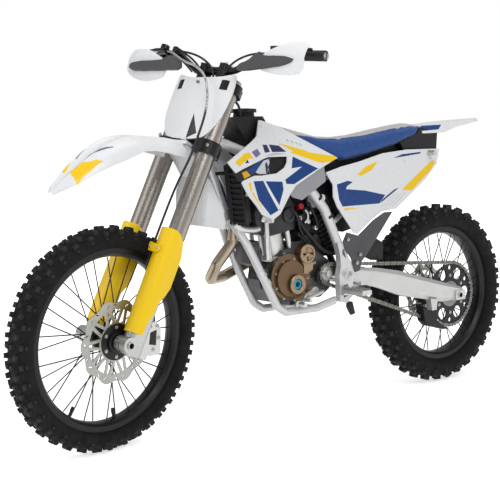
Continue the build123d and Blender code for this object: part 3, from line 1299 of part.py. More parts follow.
CALIPER_SLOT = DISC_THICKNESS + 2 * RUNNING_GAP
with BuildPart() as front_caliper:
    with BuildSketch(wheel_plane(FRONT_AXLE, FRONT_DISC_Y + 30)):
        with Locations((-126, -10)):
            RectangleRounded(54, 92, 14)
    extrude(amount=48)
    with BuildSketch(wheel_plane(FRONT_AXLE, FRONT_DISC_Y + 30)):
        outline([(-150, 30), (-132, 50), (-90, 40), (-62, 16), (-70, -6), (-110, -20)])
    extrude(amount=14)
    with BuildSketch(wheel_plane(FRONT_AXLE, FRONT_DISC_Y + CALIPER_SLOT / 2)):
        Circle(FRONT_DISC_R + 4)
    extrude(amount=CALIPER_SLOT, mode=Mode.SUBTRACT)
    with BuildSketch(steer_plane(AXLE_UP - 20)):
        with Locations((FORK_OFFSET - FORK_SLIDER_R - FIT_GAP - 24, FORK_Y - 20)):
            Rectangle(48, 12)
    extrude(amount=52)
    add(fork_sliders.part, mode=Mode.SUBTRACT)
    add(front_brake_hose, mode=Mode.SUBTRACT)
write(front_caliper.part, "front_caliper", True)

with BuildPart() as rear_caliper:
    with BuildSketch(wheel_plane(REAR_AXLE, REAR_DISC_Y + 20)):
        with Locations((104, 34)):
            RectangleRounded(50, 84, 12)
    extrude(amount=ARM_INNER_Y + REAR_DISC_Y + 20 - FIT_GAP)
    with BuildSketch(wheel_plane(REAR_AXLE, REAR_DISC_Y + CALIPER_SLOT / 2)):
        Circle(REAR_DISC_R + 4)
    extrude(amount=CALIPER_SLOT, mode=Mode.SUBTRACT)
write(rear_caliper.part, "rear_caliper")
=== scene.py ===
import json
import math

import bmesh
import bpy
from mathutils import Matrix, Vector


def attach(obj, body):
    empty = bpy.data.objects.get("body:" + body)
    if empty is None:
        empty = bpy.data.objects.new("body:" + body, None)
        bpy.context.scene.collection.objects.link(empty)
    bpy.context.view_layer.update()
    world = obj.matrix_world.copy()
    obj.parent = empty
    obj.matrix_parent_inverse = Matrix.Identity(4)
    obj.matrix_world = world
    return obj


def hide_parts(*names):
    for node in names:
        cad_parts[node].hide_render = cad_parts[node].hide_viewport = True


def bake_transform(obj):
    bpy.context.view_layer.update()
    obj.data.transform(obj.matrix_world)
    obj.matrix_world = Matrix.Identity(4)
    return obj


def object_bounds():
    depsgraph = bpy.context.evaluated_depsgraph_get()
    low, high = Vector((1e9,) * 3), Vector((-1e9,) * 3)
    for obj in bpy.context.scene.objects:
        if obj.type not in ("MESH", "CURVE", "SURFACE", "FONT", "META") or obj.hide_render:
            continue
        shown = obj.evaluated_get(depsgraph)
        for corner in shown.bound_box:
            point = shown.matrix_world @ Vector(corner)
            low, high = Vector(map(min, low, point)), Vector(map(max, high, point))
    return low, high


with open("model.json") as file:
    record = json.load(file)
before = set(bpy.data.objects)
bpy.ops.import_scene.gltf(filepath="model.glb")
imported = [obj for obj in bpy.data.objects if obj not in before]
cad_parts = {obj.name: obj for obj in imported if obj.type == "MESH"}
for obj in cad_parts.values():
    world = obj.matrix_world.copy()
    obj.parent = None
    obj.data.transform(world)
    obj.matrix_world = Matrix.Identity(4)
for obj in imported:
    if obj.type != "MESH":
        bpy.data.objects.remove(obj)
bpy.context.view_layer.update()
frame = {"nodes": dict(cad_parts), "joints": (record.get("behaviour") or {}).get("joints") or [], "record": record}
NODES = frame["nodes"]
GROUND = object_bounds()[0][2]
JOINTS = {joint["name"]: joint for joint in frame["joints"]}


# ---- places ------------------------------------------------------------------------------
LEFT = Vector((0, 1, 0))
UP = Vector((0, 0, 1))
STEERED = 8.2  # degrees that the fork is turned to the left in the frame
FOOT_AHEAD = 1.0387  # metres forwards, where the steering axis meets the ground
STEER_AXIS = Vector(JOINTS["steering_turn"]["axis"])
STEER_TURN = Matrix.Rotation(math.radians(STEERED), 3, STEER_AXIS)
STEER_PLACE = Vector(JOINTS["steering_turn"]["pos_m"])
STEER_AHEAD = STEER_TURN @ Vector((STEER_AXIS.z, 0, -STEER_AXIS.x))
STEER_LEFT = STEER_TURN @ LEFT
STEER_FOOT = STEER_PLACE + STEER_TURN @ (Vector((FOOT_AHEAD, 0, GROUND)) - STEER_PLACE)
STEER_LEVEL = STEER_TURN @ Vector((1, 0, 0))


def place(x, y, height):
    """Point of the chassis, in millimetres forwards, to the left and above the ground."""
    return Vector((x / 1000, y / 1000, height / 1000 + GROUND))


# how far out the shroud's skin is at SKIN_HEIGHT for places forwards, and how fast it leans in above
SKIN = [(600, 178), (470, 155), (378, 136), (40, 132)]
SKIN_HEIGHT, SKIN_LEAN = 690, 0.2


def skin_y(x, height):
    """How far out the shroud's skin is at a place in side view, in millimetres."""
    lean = SKIN_LEAN * (height - SKIN_HEIGHT)
    for (x1, y1), (x2, y2) in zip(SKIN, SKIN[1:]):
        if x >= x2:
            return y2 + (y1 - y2) * (x - x2) / (x1 - x2) - lean
    return SKIN[-1][1] - lean


def steered(up, ahead, y):
    """Point of the fork, in millimetres along the steering axis, ahead of it and to the left."""
    return STEER_FOOT + STEER_AXIS * (up / 1000) + STEER_AHEAD * (ahead / 1000) + STEER_LEFT * (y / 1000)


def level(x, y, height):
    """Point of the straight-ahead fork in chassis places, turned with the steering."""
    return STEER_PLACE + STEER_TURN @ (place(x, y, height) - STEER_PLACE)


# ---- materials ---------------------------------------------------------------------------
LOOKS = {}


def srgb(red, green, blue):
    """Scene colour of an 8-bit colour."""
    return tuple((c / 255 / 12.92) if c <= 10 else ((c / 255 + 0.055) / 1.055) ** 2.4
                 for c in (red, green, blue)) + (1,)


def blank(name):
    """A new material's node tree and shader, kept in LOOKS under its name."""
    LOOKS[name] = bpy.data.materials.new(name)
    LOOKS[name].use_nodes = True
    tree = LOOKS[name].node_tree
    return tree, tree.nodes["Principled BSDF"]


def feed(tree, node, *pairs):
    """Sets a node's inputs, each from a socket or to a plain value."""
    for socket, value in pairs:
        if isinstance(value, bpy.types.NodeSocket):
            tree.links.new(value, node.inputs[socket])
        else:
            node.inputs[socket].default_value = value


def new(tree, kind, *pairs):
    """A new shader node of a kind, with its inputs set."""
    node = tree.nodes.new("ShaderNode" + kind)
    feed(tree, node, *pairs)
    return node


def where(tree):
    """Places on the object, in metres in the frame."""
    return new(tree, "TexCoord").outputs["Object"]


def noise(tree, scale, detail=4.0, stretch=(1, 1, 1)):
    mapping = new(tree, "Mapping", ("Scale", stretch), ("Vector", where(tree)))
    return new(tree, "TexNoise", ("Scale", scale), ("Detail", detail),
               ("Vector", mapping.outputs["Vector"])).outputs["Fac"]


def spread(tree, value, low, high, start=0.3, end=0.7):
    """Maps start..end, which is the middle of a noise, to low..high."""
    return new(tree, "MapRange", ("From Min", start), ("From Max", end), ("To Min", low), ("To Max", high),
               ("Value", value)).outputs["Result"]


def mix(tree, factor, first, second):
    node = new(tree, "Mix")
    node.data_type = "RGBA"
    feed(tree, node, (0, factor), (6, first), (7, second))  # its colours A and B are inputs 6 and 7
    return node.outputs[2]


def rough_up(tree, shader, height, strength, distance):
    """Bumps on the surface, from a height."""
    bumps = new(tree, "Bump", ("Strength", strength), ("Distance", distance), ("Height", height))
    feed(tree, shader, ("Normal", bumps.outputs["Normal"]))


def dimmed(colour, share):
    return tuple(c * share for c in colour[:3]) + (1,)


def material(name, colour, rough=0.4, metal=0.0, grain=900.0, bump=0.1, vary=0.12, stretch=(1, 1, 1),
             coat=0.0, fields=None, shine=0.5):
    """Plastic, paint or metal with a fine grain, uneven gloss and slow changes of tone."""
    tree, shader = blank(name)
    slow = spread(tree, noise(tree, 9.0, 3.0), 0, 1)
    base = mix(tree, slow, dimmed(colour, 1 - vary), colour)
    if fields:
        base = fields(tree, base)
    gloss = spread(tree, noise(tree, 40.0, 5.0, stretch), rough * 0.85, rough * 1.15)
    feed(tree, shader, ("Metallic", metal), ("Coat Weight", coat), ("Specular IOR Level", shine),
         ("Base Color", base), ("Roughness", gloss))
    rough_up(tree, shader, noise(tree, grain, 3.0, stretch), bump, 0.0006)
    return tree, shader


def dot(tree, vector, direction):
    node = new(tree, "VectorMath", (0, vector), (1, direction))
    node.operation = "DOT_PRODUCT"
    return node.outputs["Value"]


def maths(tree, operation, first, second, clamp=False):
    node = new(tree, "Math", (0, first), (1, second))
    node.operation = operation
    node.use_clamp = clamp
    return node.outputs[0]


def inside(tree, corners, soft=0.0006, origin=Vector((0, 0, GROUND)), right=Vector((1, 0, 0)), up=UP):
    """1 inside a convex outline of corners in millimetres on a plane, and 0 outside."""
    seen = where(tree)
    foot = (origin.dot(right), origin.dot(up))
    points = [(x / 1000 + foot[0], height / 1000 + foot[1]) for x, height in corners]
    turn = sum(a[0] * b[1] - b[0] * a[1] for a, b in zip(points, points[1:] + points[:1]))
    depth = None
    for a, b in zip(points, points[1:] + points[:1]):
        normal = Vector((a[1] - b[1], b[0] - a[0])).normalized() * (1 if turn > 0 else -1)
        offset = maths(tree, "SUBTRACT", dot(tree, seen, right * normal.x + up * normal.y),
                       normal.x * a[0] + normal.y * a[1])
        depth = offset if depth is None else maths(tree, "MINIMUM", depth, offset)
    return maths(tree, "MULTIPLY_ADD", depth, 1 / soft, clamp=True)


def painted(*areas, **plane):
    """Fields of colour on a panel, each a colour with its convex outlines."""
    def lay(tree, base):
        for colour, outlines in areas:
            for corners in outlines:
                base = mix(tree, inside(tree, corners, **plane), base, colour)
        return base
    return lay


WHITE = srgb(232, 234, 236)
BLUE = srgb(0, 58, 126)
NAVY = srgb(36, 48, 88)
YELLOW = srgb(250, 204, 10)
GREY = srgb(120, 122, 128)

shroud_fields = painted(
    (srgb(246, 236, 186), [[(328, 958), (276, 938), (200, 899), (80, 882), (227, 916)]]),
    (YELLOW, [[(310, 934), (243, 902), (192, 899), (180, 903)],
              [(245, 903), (60, 868), (135, 864), (262, 901)],
              [(240, 908), (60, 884), (50, 866), (135, 864), (252, 899)],
              [(520, 874), (466, 902), (449, 886), (500, 860)],
              [(470, 900), (445, 904), (427, 884), (455, 884)],
              [(470, 807), (456, 809), (459, 780), (465, 778)],
              [(461, 776), (452, 778), (417, 714), (428, 727)]]),
    (BLUE, [[(252, 887), (210, 853), (264, 848)], [(252, 887), (144, 844), (216, 854)],
            [(144, 845), (212, 855), (267, 827), (263, 796)],
            [(261, 796), (296, 798), (299, 812), (258, 832)],
            [(459, 882), (452, 871), (473, 869)],
            [(444, 812), (396, 812), (346, 714), (384, 700), (432, 752)],
            [(384, 810), (312, 806), (312, 780), (340, 730)]]),
    (NAVY, [[(375, 928), (356, 927), (347, 904), (369, 901)],
            [(348, 928), (306, 924), (276, 903), (338, 903)]]),
    (srgb(118, 112, 152), [[(433, 905), (404, 915), (389, 898), (415, 886)]]),
    # painted shadow: a thin light grey strip under the raised ledge above the vent stands for the ledge's shade
    (srgb(196, 198, 204), [[(404, 884), (330, 901), (262, 896), (262, 890), (335, 891)]]),
    (srgb(150, 152, 158), [[(x, height), (x - 3, height + 1), (x + 5, height + 9), (x + 9, height + 8)]
                           for x, height in ((262, 936), (243, 931), (224, 926), (206, 921))]),
)
vent_fields = painted(
    # painted shade: the black base is the dark of the vent's hollow and the shadow under its top edge; the fields
    # laid over it continue the shroud's graphics
    (srgb(12, 12, 13), [[(336, 780), (336, 920), (600, 920), (600, 780)]]),
    (srgb(206, 208, 212), [[(424, 840), (376, 876), (333, 886), (366, 833), (408, 834)]]),
    (BLUE, [[(464, 847), (384, 880), (376, 880), (420, 842), (441, 833)]]),
    (NAVY, [[(372, 865), (364, 872), (359, 855), (370, 835), (373, 838)],
            [(354, 884), (333, 884), (350, 862)]]),
    (srgb(226, 168, 14), [[(490, 840), (468, 846), (449, 831), (482, 821)]]),
)
side_fields = painted(
    (BLUE, [[(55, 787), (14, 795), (8, 778), (33, 710), (48, 736)],
            [(8, 778), (-80, 761), (-194, 751), (-150, 712), (33, 710)],
            [(-190, 751), (-232, 759), (-410, 850), (-419, 845), (-154, 712)],
            [(30, 792), (3, 798), (-23, 793), (8, 778)],
            [(-230, 870), (-281, 884), (-387, 891), (-378, 883), (-292, 876)]]),
    (YELLOW, [[(28, 704), (-64, 702), (20, 696)],
              [(-425, 849), (-452, 859), (-464, 852), (-437, 823), (-325, 751), (-268, 755), (-331, 792)],
              [(-46, 817), (-89, 844), (-153, 862), (-121, 832), (-67, 813)]]),
    (GREY, [[(x, 700), (x + 1.6, 700), (x - 1.16 * 60 + 1.6, 743), (x - 1.16 * 60, 743)]
            for x in (-162, -181, -200, -220)]),
)
fender_fields = painted((BLUE, [[(-378, 966), (-413, 987), (-521, 991), (-497, 973), (-467, 971)]]))

plate_fields = painted(
    # painted shade: the black triangle is the dark of a slit in the plate, which the mesh does not cut
    (srgb(8, 8, 9), [[(27, 1116), (60, 1053), (24, 1032)]]),
    (srgb(120, 122, 126), [[(-17, 1232), (2, 1228), (3, 1217), (-14, 1221)]]),
    origin=STEER_FOOT, right=STEER_LEFT, up=STEER_AXIS,
)
front_fender_fields = painted(
    (YELLOW, [[(x, side * y) for x, y in outline] for side in (1, -1) for outline in (
        [(44, 6), (44, 50), (2, 56), (2, 27)], [(4, 26), (4, 56), (-44, 60), (-34, 50)])]),
    (srgb(104, 112, 132), [[(x, side * y) for x, y in outline] for side in (1, -1) for outline in (
        [(-8, 18), (-5, 22), (-92, 44), (-98, 42)],)]),
    origin=STEER_FOOT, right=STEER_LEVEL, up=STEER_LEFT,
)

for name, rough, fields in (
        ("plate_white", 0.3, plate_fields), ("front_fender_white", 0.3, front_fender_fields),
        ("white_plastic", 0.32, None), ("shroud_white", 0.28, shroud_fields),
        ("side_white", 0.28, side_fields), ("fender_white", 0.32, fender_fields)):
    material(name, WHITE, rough, grain=1400, bump=0.05, vary=0.015, fields=fields)
material("black_plastic", srgb(22, 22, 23), 0.5, 0, 1800, 0.25, 0.3, shine=0.35)
material("dark_grey_plastic", srgb(72, 72, 76), 0.5, 0, 1800, 0.25, 0.1)
material("yellow_plastic", srgb(255, 212, 0), 0.33, 0, 1400, 0.05, 0.02)
material("frame_paint", srgb(214, 214, 216), 0.3, 0.25, 2600, 0.15, 0.06, coat=0.3)
material("tank_panel_grey", srgb(158, 158, 163), 0.42, 0, 1500, 0.1, 0.08, fields=vent_fields)
material("bare_aluminium", srgb(206, 206, 204), 0.38, 0.85, 1600, 0.3, 0.1, (1, 6, 1))
material("cast_aluminium", srgb(150, 150, 150), 0.5, 0.8, 500, 0.7, 0.25)
material("swingarm_metal", srgb(204, 204, 203), 0.42, 0.7, 700, 0.25, 0.06)
material("bronze_cover", srgb(112, 90, 68), 0.36, 0.75, 1800, 0.2, 0.2)
material("bronze_light", srgb(158, 136, 108), 0.34, 0.75, 1800, 0.2, 0.12)
material("case_magnesium", srgb(92, 92, 94), 0.5, 0.6, 500, 0.7, 0.3)
material("head_casting", srgb(64, 64, 66), 0.5, 0.6, 500, 0.7, 0.3)
material("radiator_core", srgb(20, 20, 21), 0.55, 0.2, 2400, 0.6, 0.2, (1, 1, 30))
material("cyan_anodised", srgb(20, 150, 190), 0.28, 0.6, 1800, 0.1, 0.1)
material("red_plastic", srgb(190, 20, 36), 0.35, 0.0, 1400, 0.1, 0.1)
material("disc_steel", srgb(168, 168, 163), 0.34, 0.9, 1500, 0.25, 0.12)
material("spoke_steel", srgb(60, 60, 62), 0.34, 0.85, 1500, 0.2, 0.2)
material("hose_rubber", srgb(24, 24, 25), 0.55, 0.0, 1200, 0.3, 0.2, shine=0.4)
material("black_aluminium", srgb(30, 30, 32), 0.36, 0.5, 1800, 0.15, 0.25)
material("steel", srgb(188, 188, 186), 0.3, 0.95, 1500, 0.25, 0.1, (1, 1, 8))
material("chain_steel", srgb(142, 140, 134), 0.36, 0.8, 900, 0.3, 0.35)
material("titanium", srgb(176, 162, 142), 0.32, 0.9, 1200, 0.15, 0.25, (6, 1, 1))
material("fork_anodised", srgb(152, 147, 140), 0.3, 0.9, 2200, 0.2, 0.06, (8, 8, 1))
# the knobs' rubber is a lighter copy of the casing's: painted highlight on the knobs, and the darker casing is
# painted shade in the gaps between them
material("tyre_rubber", srgb(20, 20, 21), 0.8, 0.0, 700, 0.5, 0.3, shine=0.25)
material("tyre_knob", srgb(38, 38, 39), 0.72, 0.0, 700, 0.5, 0.3, shine=0.35)
material("grip_rubber", srgb(30, 30, 31), 0.6, 0.0, 1500, 0.4, 0.2)
# nodes that wear another look than their slot's
WEARS = {
    "shrouds": "shroud_white", "side_panels": "side_white", "rear_fender": "fender_white",
    "swingarm": "swingarm_metal", "crankcase": "case_magnesium", "radiators": "radiator_core",
    "tank_panels": "tank_panel_grey", "front_hub": "spoke_steel", "rear_hub": "spoke_steel",
}


def dress(piece, look):
    piece.data.materials.clear()
    piece.data.materials.append(LOOKS[look])


for part in frame["record"]["subparts"]:
    name = part["node"]
    look = WEARS.get(name, part["material_slot"])
    if look in LOOKS:
        dress(NODES[name], look)


# ---- seat cover --------------------------------------------------------------------------
CROWN_HALF = 0.055  # metres from the middle to the seam between the grey top and the blue sides


def seat_cover():
    """Grippy cover: grey on top, blue down the sides, in a fine weave."""
    tree, shader = blank("seat_cover")
    across = maths(tree, "ABSOLUTE", dot(tree, where(tree), LEFT), 0.0)
    top = spread(tree, across, 0, 1, CROWN_HALF + 0.001, CROWN_HALF - 0.001)
    weave = spread(tree, noise(tree, 60.0, 4.0), 0, 1)
    side = mix(tree, weave, srgb(8, 62, 128), srgb(14, 72, 142))
    crown = mix(tree, weave, srgb(176, 172, 168), srgb(190, 187, 183))
    feed(tree, shader, ("Sheen Weight", 0.15), ("Base Color", mix(tree, top, side, crown)),
         ("Roughness", spread(tree, noise(tree, 300.0), 0.55, 0.7)))
    pips = new(tree, "TexVoronoi", ("Scale", 420.0), ("Vector", where(tree)))
    rough_up(tree, shader, pips.outputs["Distance"], 0.3, 0.0008)


seat_cover()


# ---- pieces ------------------------------------------------------------------------------
def own(mesh, name, body, look, *nodes):
    """A new piece on a body, which stands for some CAD nodes."""
    piece = bpy.data.objects.new(name, mesh)
    bpy.context.scene.collection.objects.link(piece)
    dress(piece, look)
    if body:
        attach(piece, body)
    if nodes:
        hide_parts(*nodes)
    return piece


class Shape:
    """Gathers the points and faces of one piece."""

    def __init__(self):
        self.mesh = bmesh.new()

    def ring(self, centre, right, up, radius, sides):
        """Round loop of points, with its radius in millimetres."""
        angles = [2 * math.pi * number / sides for number in range(sides)]
        return [self.mesh.verts.new(centre + (right * math.cos(a) + up * math.sin(a)) * (radius / 1000))
                for a in angles]

    def skinned(self, loops):
        """Faces between closed loops of points, and over the first and last of them."""
        for low, high in zip(loops, loops[1:]):
            for number in range(len(low)):
                after = (number + 1) % len(low)
                self.mesh.faces.new((low[number], low[after], high[after], high[number]))
        self.mesh.faces.new(loops[0][::-1])
        self.mesh.faces.new(loops[-1])
        return self

    def lathe(self, foot, direction, rings, sides=28):
        """Turned solid. A ring is (distance along, radius) in millimetres."""
        axis = direction.normalized()
        right = axis.orthogonal().normalized()
        up = axis.cross(right)
        return self.skinned([self.ring(foot + axis * (along / 1000), right, up, radius, sides)
                             for along, radius in rings])

    def bar(self, start, end, radius, sides=20):
        """Round bar with softened ends."""
        run = (end - start).length * 1000
        soft = min(radius, run) * 0.15
        return self.lathe(start, end - start, [(0, radius - soft), (soft, radius), (run - soft, radius),
                                               (run, radius - soft)], sides)

    def slab(self, corners, offset, soft=0.0):
        """Flat outline moved along an offset, with softened edges."""
        low = [self.mesh.verts.new(corner) for corner in corners]
        high = [self.mesh.verts.new(corner + offset) for corner in corners]
        made = [self.mesh.faces.new(low[::-1]), self.mesh.faces.new(high)]
        for number in range(len(low)):
            after = (number + 1) % len(low)
            made.append(self.mesh.faces.new((low[number], low[after], high[after], high[number])))
        if soft:
            edges = {edge for face in made for edge in face.edges}
            bmesh.ops.bevel(self.mesh, geom=list(edges), offset=soft / 1000, segments=2, profile=0.6,
                            affect="EDGES", clamp_overlap=True)
        return self

    def tube(self, points, radius, sides=12):
        """Bent tube along points whose corners are cut smooth."""
        for _ in range(3):
            cut = [points[0]]
            for a, b in zip(points, points[1:]):
                cut += [a.lerp(b, 0.25), a.lerp(b, 0.75)]
            points = cut + [points[-1]]
        right = (points[1] - points[0]).orthogonal().normalized()
        loops = []
        for number, point in enumerate(points):
            run = (points[min(number + 1, len(points) - 1)] - points[max(number - 1, 0)]).normalized()
            right = (right - run * right.dot(run)).normalized()
            loops.append(self.ring(point, right, run.cross(right), radius, sides))
        return self.skinned(loops)

    def bolt(self, foot, direction, radius=5.0, height=5.0):
        """Hexagon head on its washer, with a socket."""
        self.lathe(foot, direction, [(-1, radius * 1.35), (0.9, radius * 1.4), (1.1, radius * 1.2)], 20)
        self.lathe(foot, direction, [(0.9, radius), (height * 0.8, radius), (height, radius * 0.82),
                                     (height, radius * 0.45), (height * 0.45, radius * 0.4)], 6)
        return self

    def sheet(self, corners, shape, thickness, step=14, rounds=2):
        """Moulded sheet: an outline cut in small faces and bent by a function of its two places."""
        for _ in range(rounds):
            cut = []
            for a, b in zip(corners, corners[1:] + corners[:1]):
                cut += [(a[0] * 0.75 + b[0] * 0.25, a[1] * 0.75 + b[1] * 0.25),
                        (a[0] * 0.25 + b[0] * 0.75, a[1] * 0.25 + b[1] * 0.75)]
            corners = cut
        flat = bmesh.new()
        flat.faces.new([flat.verts.new((x, y, 0)) for x, y in corners])
        for axis in (0, 1):
            low, high = min(corner[axis] for corner in corners), max(corner[axis] for corner in corners)
            at = math.floor(low / step) * step
            while at < high:
                point, normal = [0, 0, 0], [0, 0, 0]
                point[axis], normal[axis] = at, 1
                bmesh.ops.bisect_plane(flat, geom=flat.verts[:] + flat.edges[:] + flat.faces[:],
                                       plane_co=point, plane_no=normal, dist=0.01)
                at += step
        for vert in flat.verts:
            vert.co = shape(vert.co.x, vert.co.y)
        bmesh.ops.recalc_face_normals(flat, faces=flat.faces)
        bmesh.ops.solidify(flat, geom=flat.faces[:], thickness=thickness / 1000)
        held = bpy.data.meshes.new("sheet")
        flat.to_mesh(held)
        flat.free()
        self.mesh.from_mesh(held)
        bpy.data.meshes.remove(held)
        return self

    def loft(self, sections):
        """Skin through rows of points, closed in on itself across each row."""
        return self.skinned([[self.mesh.verts.new(point) for point in section] for section in sections])

    def holed(self, outlines, foot, direction, thickness):
        """Flat plate about a foot: the first outline filled and the others cut out, in millimetres."""
        curve = bpy.data.curves.new("plate", "CURVE")
        curve.dimensions = "2D"
        curve.fill_mode = "BOTH"
        curve.extrude = thickness / 2000
        for outline in outlines:
            line = curve.splines.new("POLY")
            line.points.add(len(outline) - 1)
            for point, (x, y) in zip(line.points, outline):
                point.co = (x / 1000, y / 1000, 0, 1)
            line.use_cyclic_u = True
        held = bpy.data.objects.new("plate", curve)
        mesh = bpy.data.meshes.new_from_object(held)
        axis = direction.normalized()
        right = axis.cross(UP).normalized()
        turn = Matrix((right, axis.cross(right) * -1, axis)).transposed().to_4x4()
        mesh.transform(Matrix.Translation(foot) @ turn)
        self.mesh.from_mesh(mesh)
        bmesh.ops.remove_doubles(self.mesh, verts=self.mesh.verts, dist=1e-6)
        bpy.data.objects.remove(held)
        bpy.data.curves.remove(curve)
        bpy.data.meshes.remove(mesh)
        return self

    def made(self, name, body, look, *nodes):
        bmesh.ops.recalc_face_normals(self.mesh, faces=self.mesh.faces)
        mesh = bpy.data.meshes.new(name)
        self.mesh.to_mesh(mesh)
        self.mesh.free()
        mesh.polygons.foreach_set("use_smooth", [True] * len(mesh.polygons))
        mesh.set_sharp_from_angle(angle=math.radians(34))
        return own(mesh, name, body, look, *nodes)


def tubes(shape, point, *runs, sides=12):
    """Bent tubes, each a radius and its places, given by three numbers for a function of places."""
    for radius, *places in runs:
        shape.tube([point(*numbers) for numbers in places], radius, sides)


def upright(shape, *plates):
    """Slabs, each a distance to the left, a thickness, a softness and its corners in side view."""
    for y, thickness, soft, *corners in plates:
        shape.slab([place(x, y, height) for x, height in corners], LEFT * (thickness / 1000), soft)


def turned(shape, *parts, sides=28):
    """Turned pieces that point to the left, each a place and its rings."""
    for foot, *rings in parts:
        shape.lathe(place(*foot), LEFT, rings, sides)


# ---- brake hose --------------------------------------------------------------------------
BRAID_END = 1120  # millimetres up the steering axis, where the braid gives way to rubber


def hose_look():
    """Braided steel down to the fork, black rubber below it."""
    tree, shader = material("brake_hose", srgb(196, 198, 200), 0.35, 0.6, 1500, 0.3, 0.1)
    low = inside(tree, [(-900, BRAID_END), (900, BRAID_END), (900, 0), (-900, 0)], 0.02,
                 origin=STEER_FOOT, right=STEER_LEFT, up=STEER_AXIS)
    braid = new(tree, "TexWave", ("Scale", 180.0), ("Distortion", 1.0), ("Vector", where(tree)))
    braid.bands_direction = "DIAGONAL"
    steel = mix(tree, braid.outputs["Fac"], srgb(120, 122, 124), srgb(214, 216, 218))
    feed(tree, shader, ("Base Color", mix(tree, low, steel, srgb(20, 20, 21))),
         ("Metallic", maths(tree, "SUBTRACT", 0.6, low, clamp=True)))


hose_look()
HOSE_RADIUS = 0.0038
# up along the steering axis, ahead and left, from the master cylinder to the caliper
HOSE_POINTS = [(1350.17, 43.7, -244.48), (1349.31, 46.22, -226.68), (1324, 70, -168), (1290, 84, -92),
               (1272, 92, -20), (1236, 94, 44), (1170, 92, 86), (1104, 88, 102), (1030, 84, 101),
                (960, 76, 92),
               (860, 76, 74), (724, 66, 60.5), (624, 66, 60.5), (590, 48, 51), (520, -22, 50), (466, -52, 52),
               (440, -56, 62)]
hose_curve = bpy.data.curves.new("brake_hose", "CURVE")
hose_curve.dimensions = "3D"
hose_line = hose_curve.splines.new("NURBS")
hose_line.points.add(len(HOSE_POINTS) - 1)
for point, (up, ahead, y) in zip(hose_line.points, HOSE_POINTS):
    point.co = (*steered(up, ahead, y), 1)
    point.radius = HOSE_RADIUS
hose_line.order_u = 3
hose_line.use_endpoint_u = True
hose_line.resolution_u = 12
hose = own(hose_curve, "brake_hose", "steering", "brake_hose", "front_brake_hose")
hose_run = bpy.data.meshes.new_from_object(hose.evaluated_get(bpy.context.evaluated_depsgraph_get()))
hose_curve.bevel_depth = 1.0
hose_curve.bevel_resolution = 4
hose_curve.use_fill_caps = True


# ---- tyres -------------------------------------------------------------------------------
def block(length, width, height, taper=0.86, sunk=0.004, round_off=0.0011):
    """Rubber knob on its own plane: x round the wheel, y across, z outwards."""
    knob = bmesh.new()
    square = [(-1, -1), (1, -1), (1, 1), (-1, 1)]
    low = [knob.verts.new((x * length / 2, y * width / 2, -sunk)) for x, y in square]
    high = [knob.verts.new((x * length / 2 * taper, y * width / 2 * taper, height)) for x, y in square]
    knob.faces.new(low[::-1])
    knob.faces.new(high)
    for number in range(4):
        knob.faces.new((low[number], low[(number + 1) % 4], high[(number + 1) % 4], high[number]))
    edges = [edge for edge in knob.edges if any(vert in high for vert in edge.verts)]
    bmesh.ops.bevel(knob, geom=edges, offset=round_off, segments=2, profile=0.6, affect="EDGES")
    shape = [vert.co.copy() for vert in knob.verts]
    faces = [[vert.index for vert in face.verts] for face in knob.faces]
    knob.free()
    return shape, faces


def tyre(name, body, node, centre, axis, profile, rows, pitches):
    """Casing about the axle, with rings of knobs. A row is (y, radius, tilt, size, skew, phase).

    The profile is half of the casing's outline, as (y, radius) in millimetres.
    """
    profile = profile + [(-y, r) for y, r in profile[::-1] if y]
    points, faces = [], []
    turns = 144
    spin = Vector(axis).normalized()
    start = spin.orthogonal().normalized()
    other = spin.cross(start)
    for number in range(turns):
        angle = 2 * math.pi * number / turns
        out = start * math.cos(angle) + other * math.sin(angle)
        points.extend(centre + spin * y / 1000 + out * r / 1000 for y, r in profile)
    rings = len(profile)
    for number in range(turns):
        here, there = number * rings, (number + 1) % turns * rings
        for step in range(rings):
            after = (step + 1) % rings
            faces.append((here + step, there + step, there + after, here + after))
    smooth = len(faces)
    for y, radius, tilt, size, skew, phase in rows:
        shape, sides = block(*(value / 1000 for value in size))
        lean, turn = math.radians(tilt), math.radians(skew)
        for number in range(pitches):
            angle = 2 * math.pi * (number + phase) / pitches
            out = start * math.cos(angle) + other * math.sin(angle)
            round_wheel = other * math.cos(angle) - start * math.sin(angle)
            normal = out * math.cos(lean) + spin * math.sin(lean)
            across = spin * math.cos(lean) - out * math.sin(lean)
            long = round_wheel * math.cos(turn) + across * math.sin(turn)
            wide = across * math.cos(turn) - round_wheel * math.sin(turn)
            base = centre + spin * y / 1000 + out * radius / 1000
            first = len(points)
            points.extend(base + long * co.x + wide * co.y + normal * co.z for co in shape)
            faces.extend([first + corner for corner in side] for side in sides)
    mesh = bpy.data.meshes.new(name)
    mesh.from_pydata(points, [], faces)
    made = bmesh.new()
    made.from_mesh(mesh)
    bmesh.ops.recalc_face_normals(made, faces=made.faces)
    made.to_mesh(mesh)
    made.free()
    mesh.polygons.foreach_set("use_smooth", [number < smooth for number in range(len(mesh.polygons))])
    own(mesh, name, body, "tyre_rubber", node)
    # knob faces take the lighter copy of the rubber as painted highlight, against the casing's darker painted
    # shade
    mesh.materials.append(LOOKS["tyre_knob"])
    mesh.polygons.foreach_set("material_index",
                              [int(number >= smooth) for number in range(len(mesh.polygons))])


def mirrored(rows):
    """The rows of one side, on both sides."""
    return rows + [(-y, radius, -tilt, size, -skew, phase) for y, radius, tilt, size, skew, phase in rows]


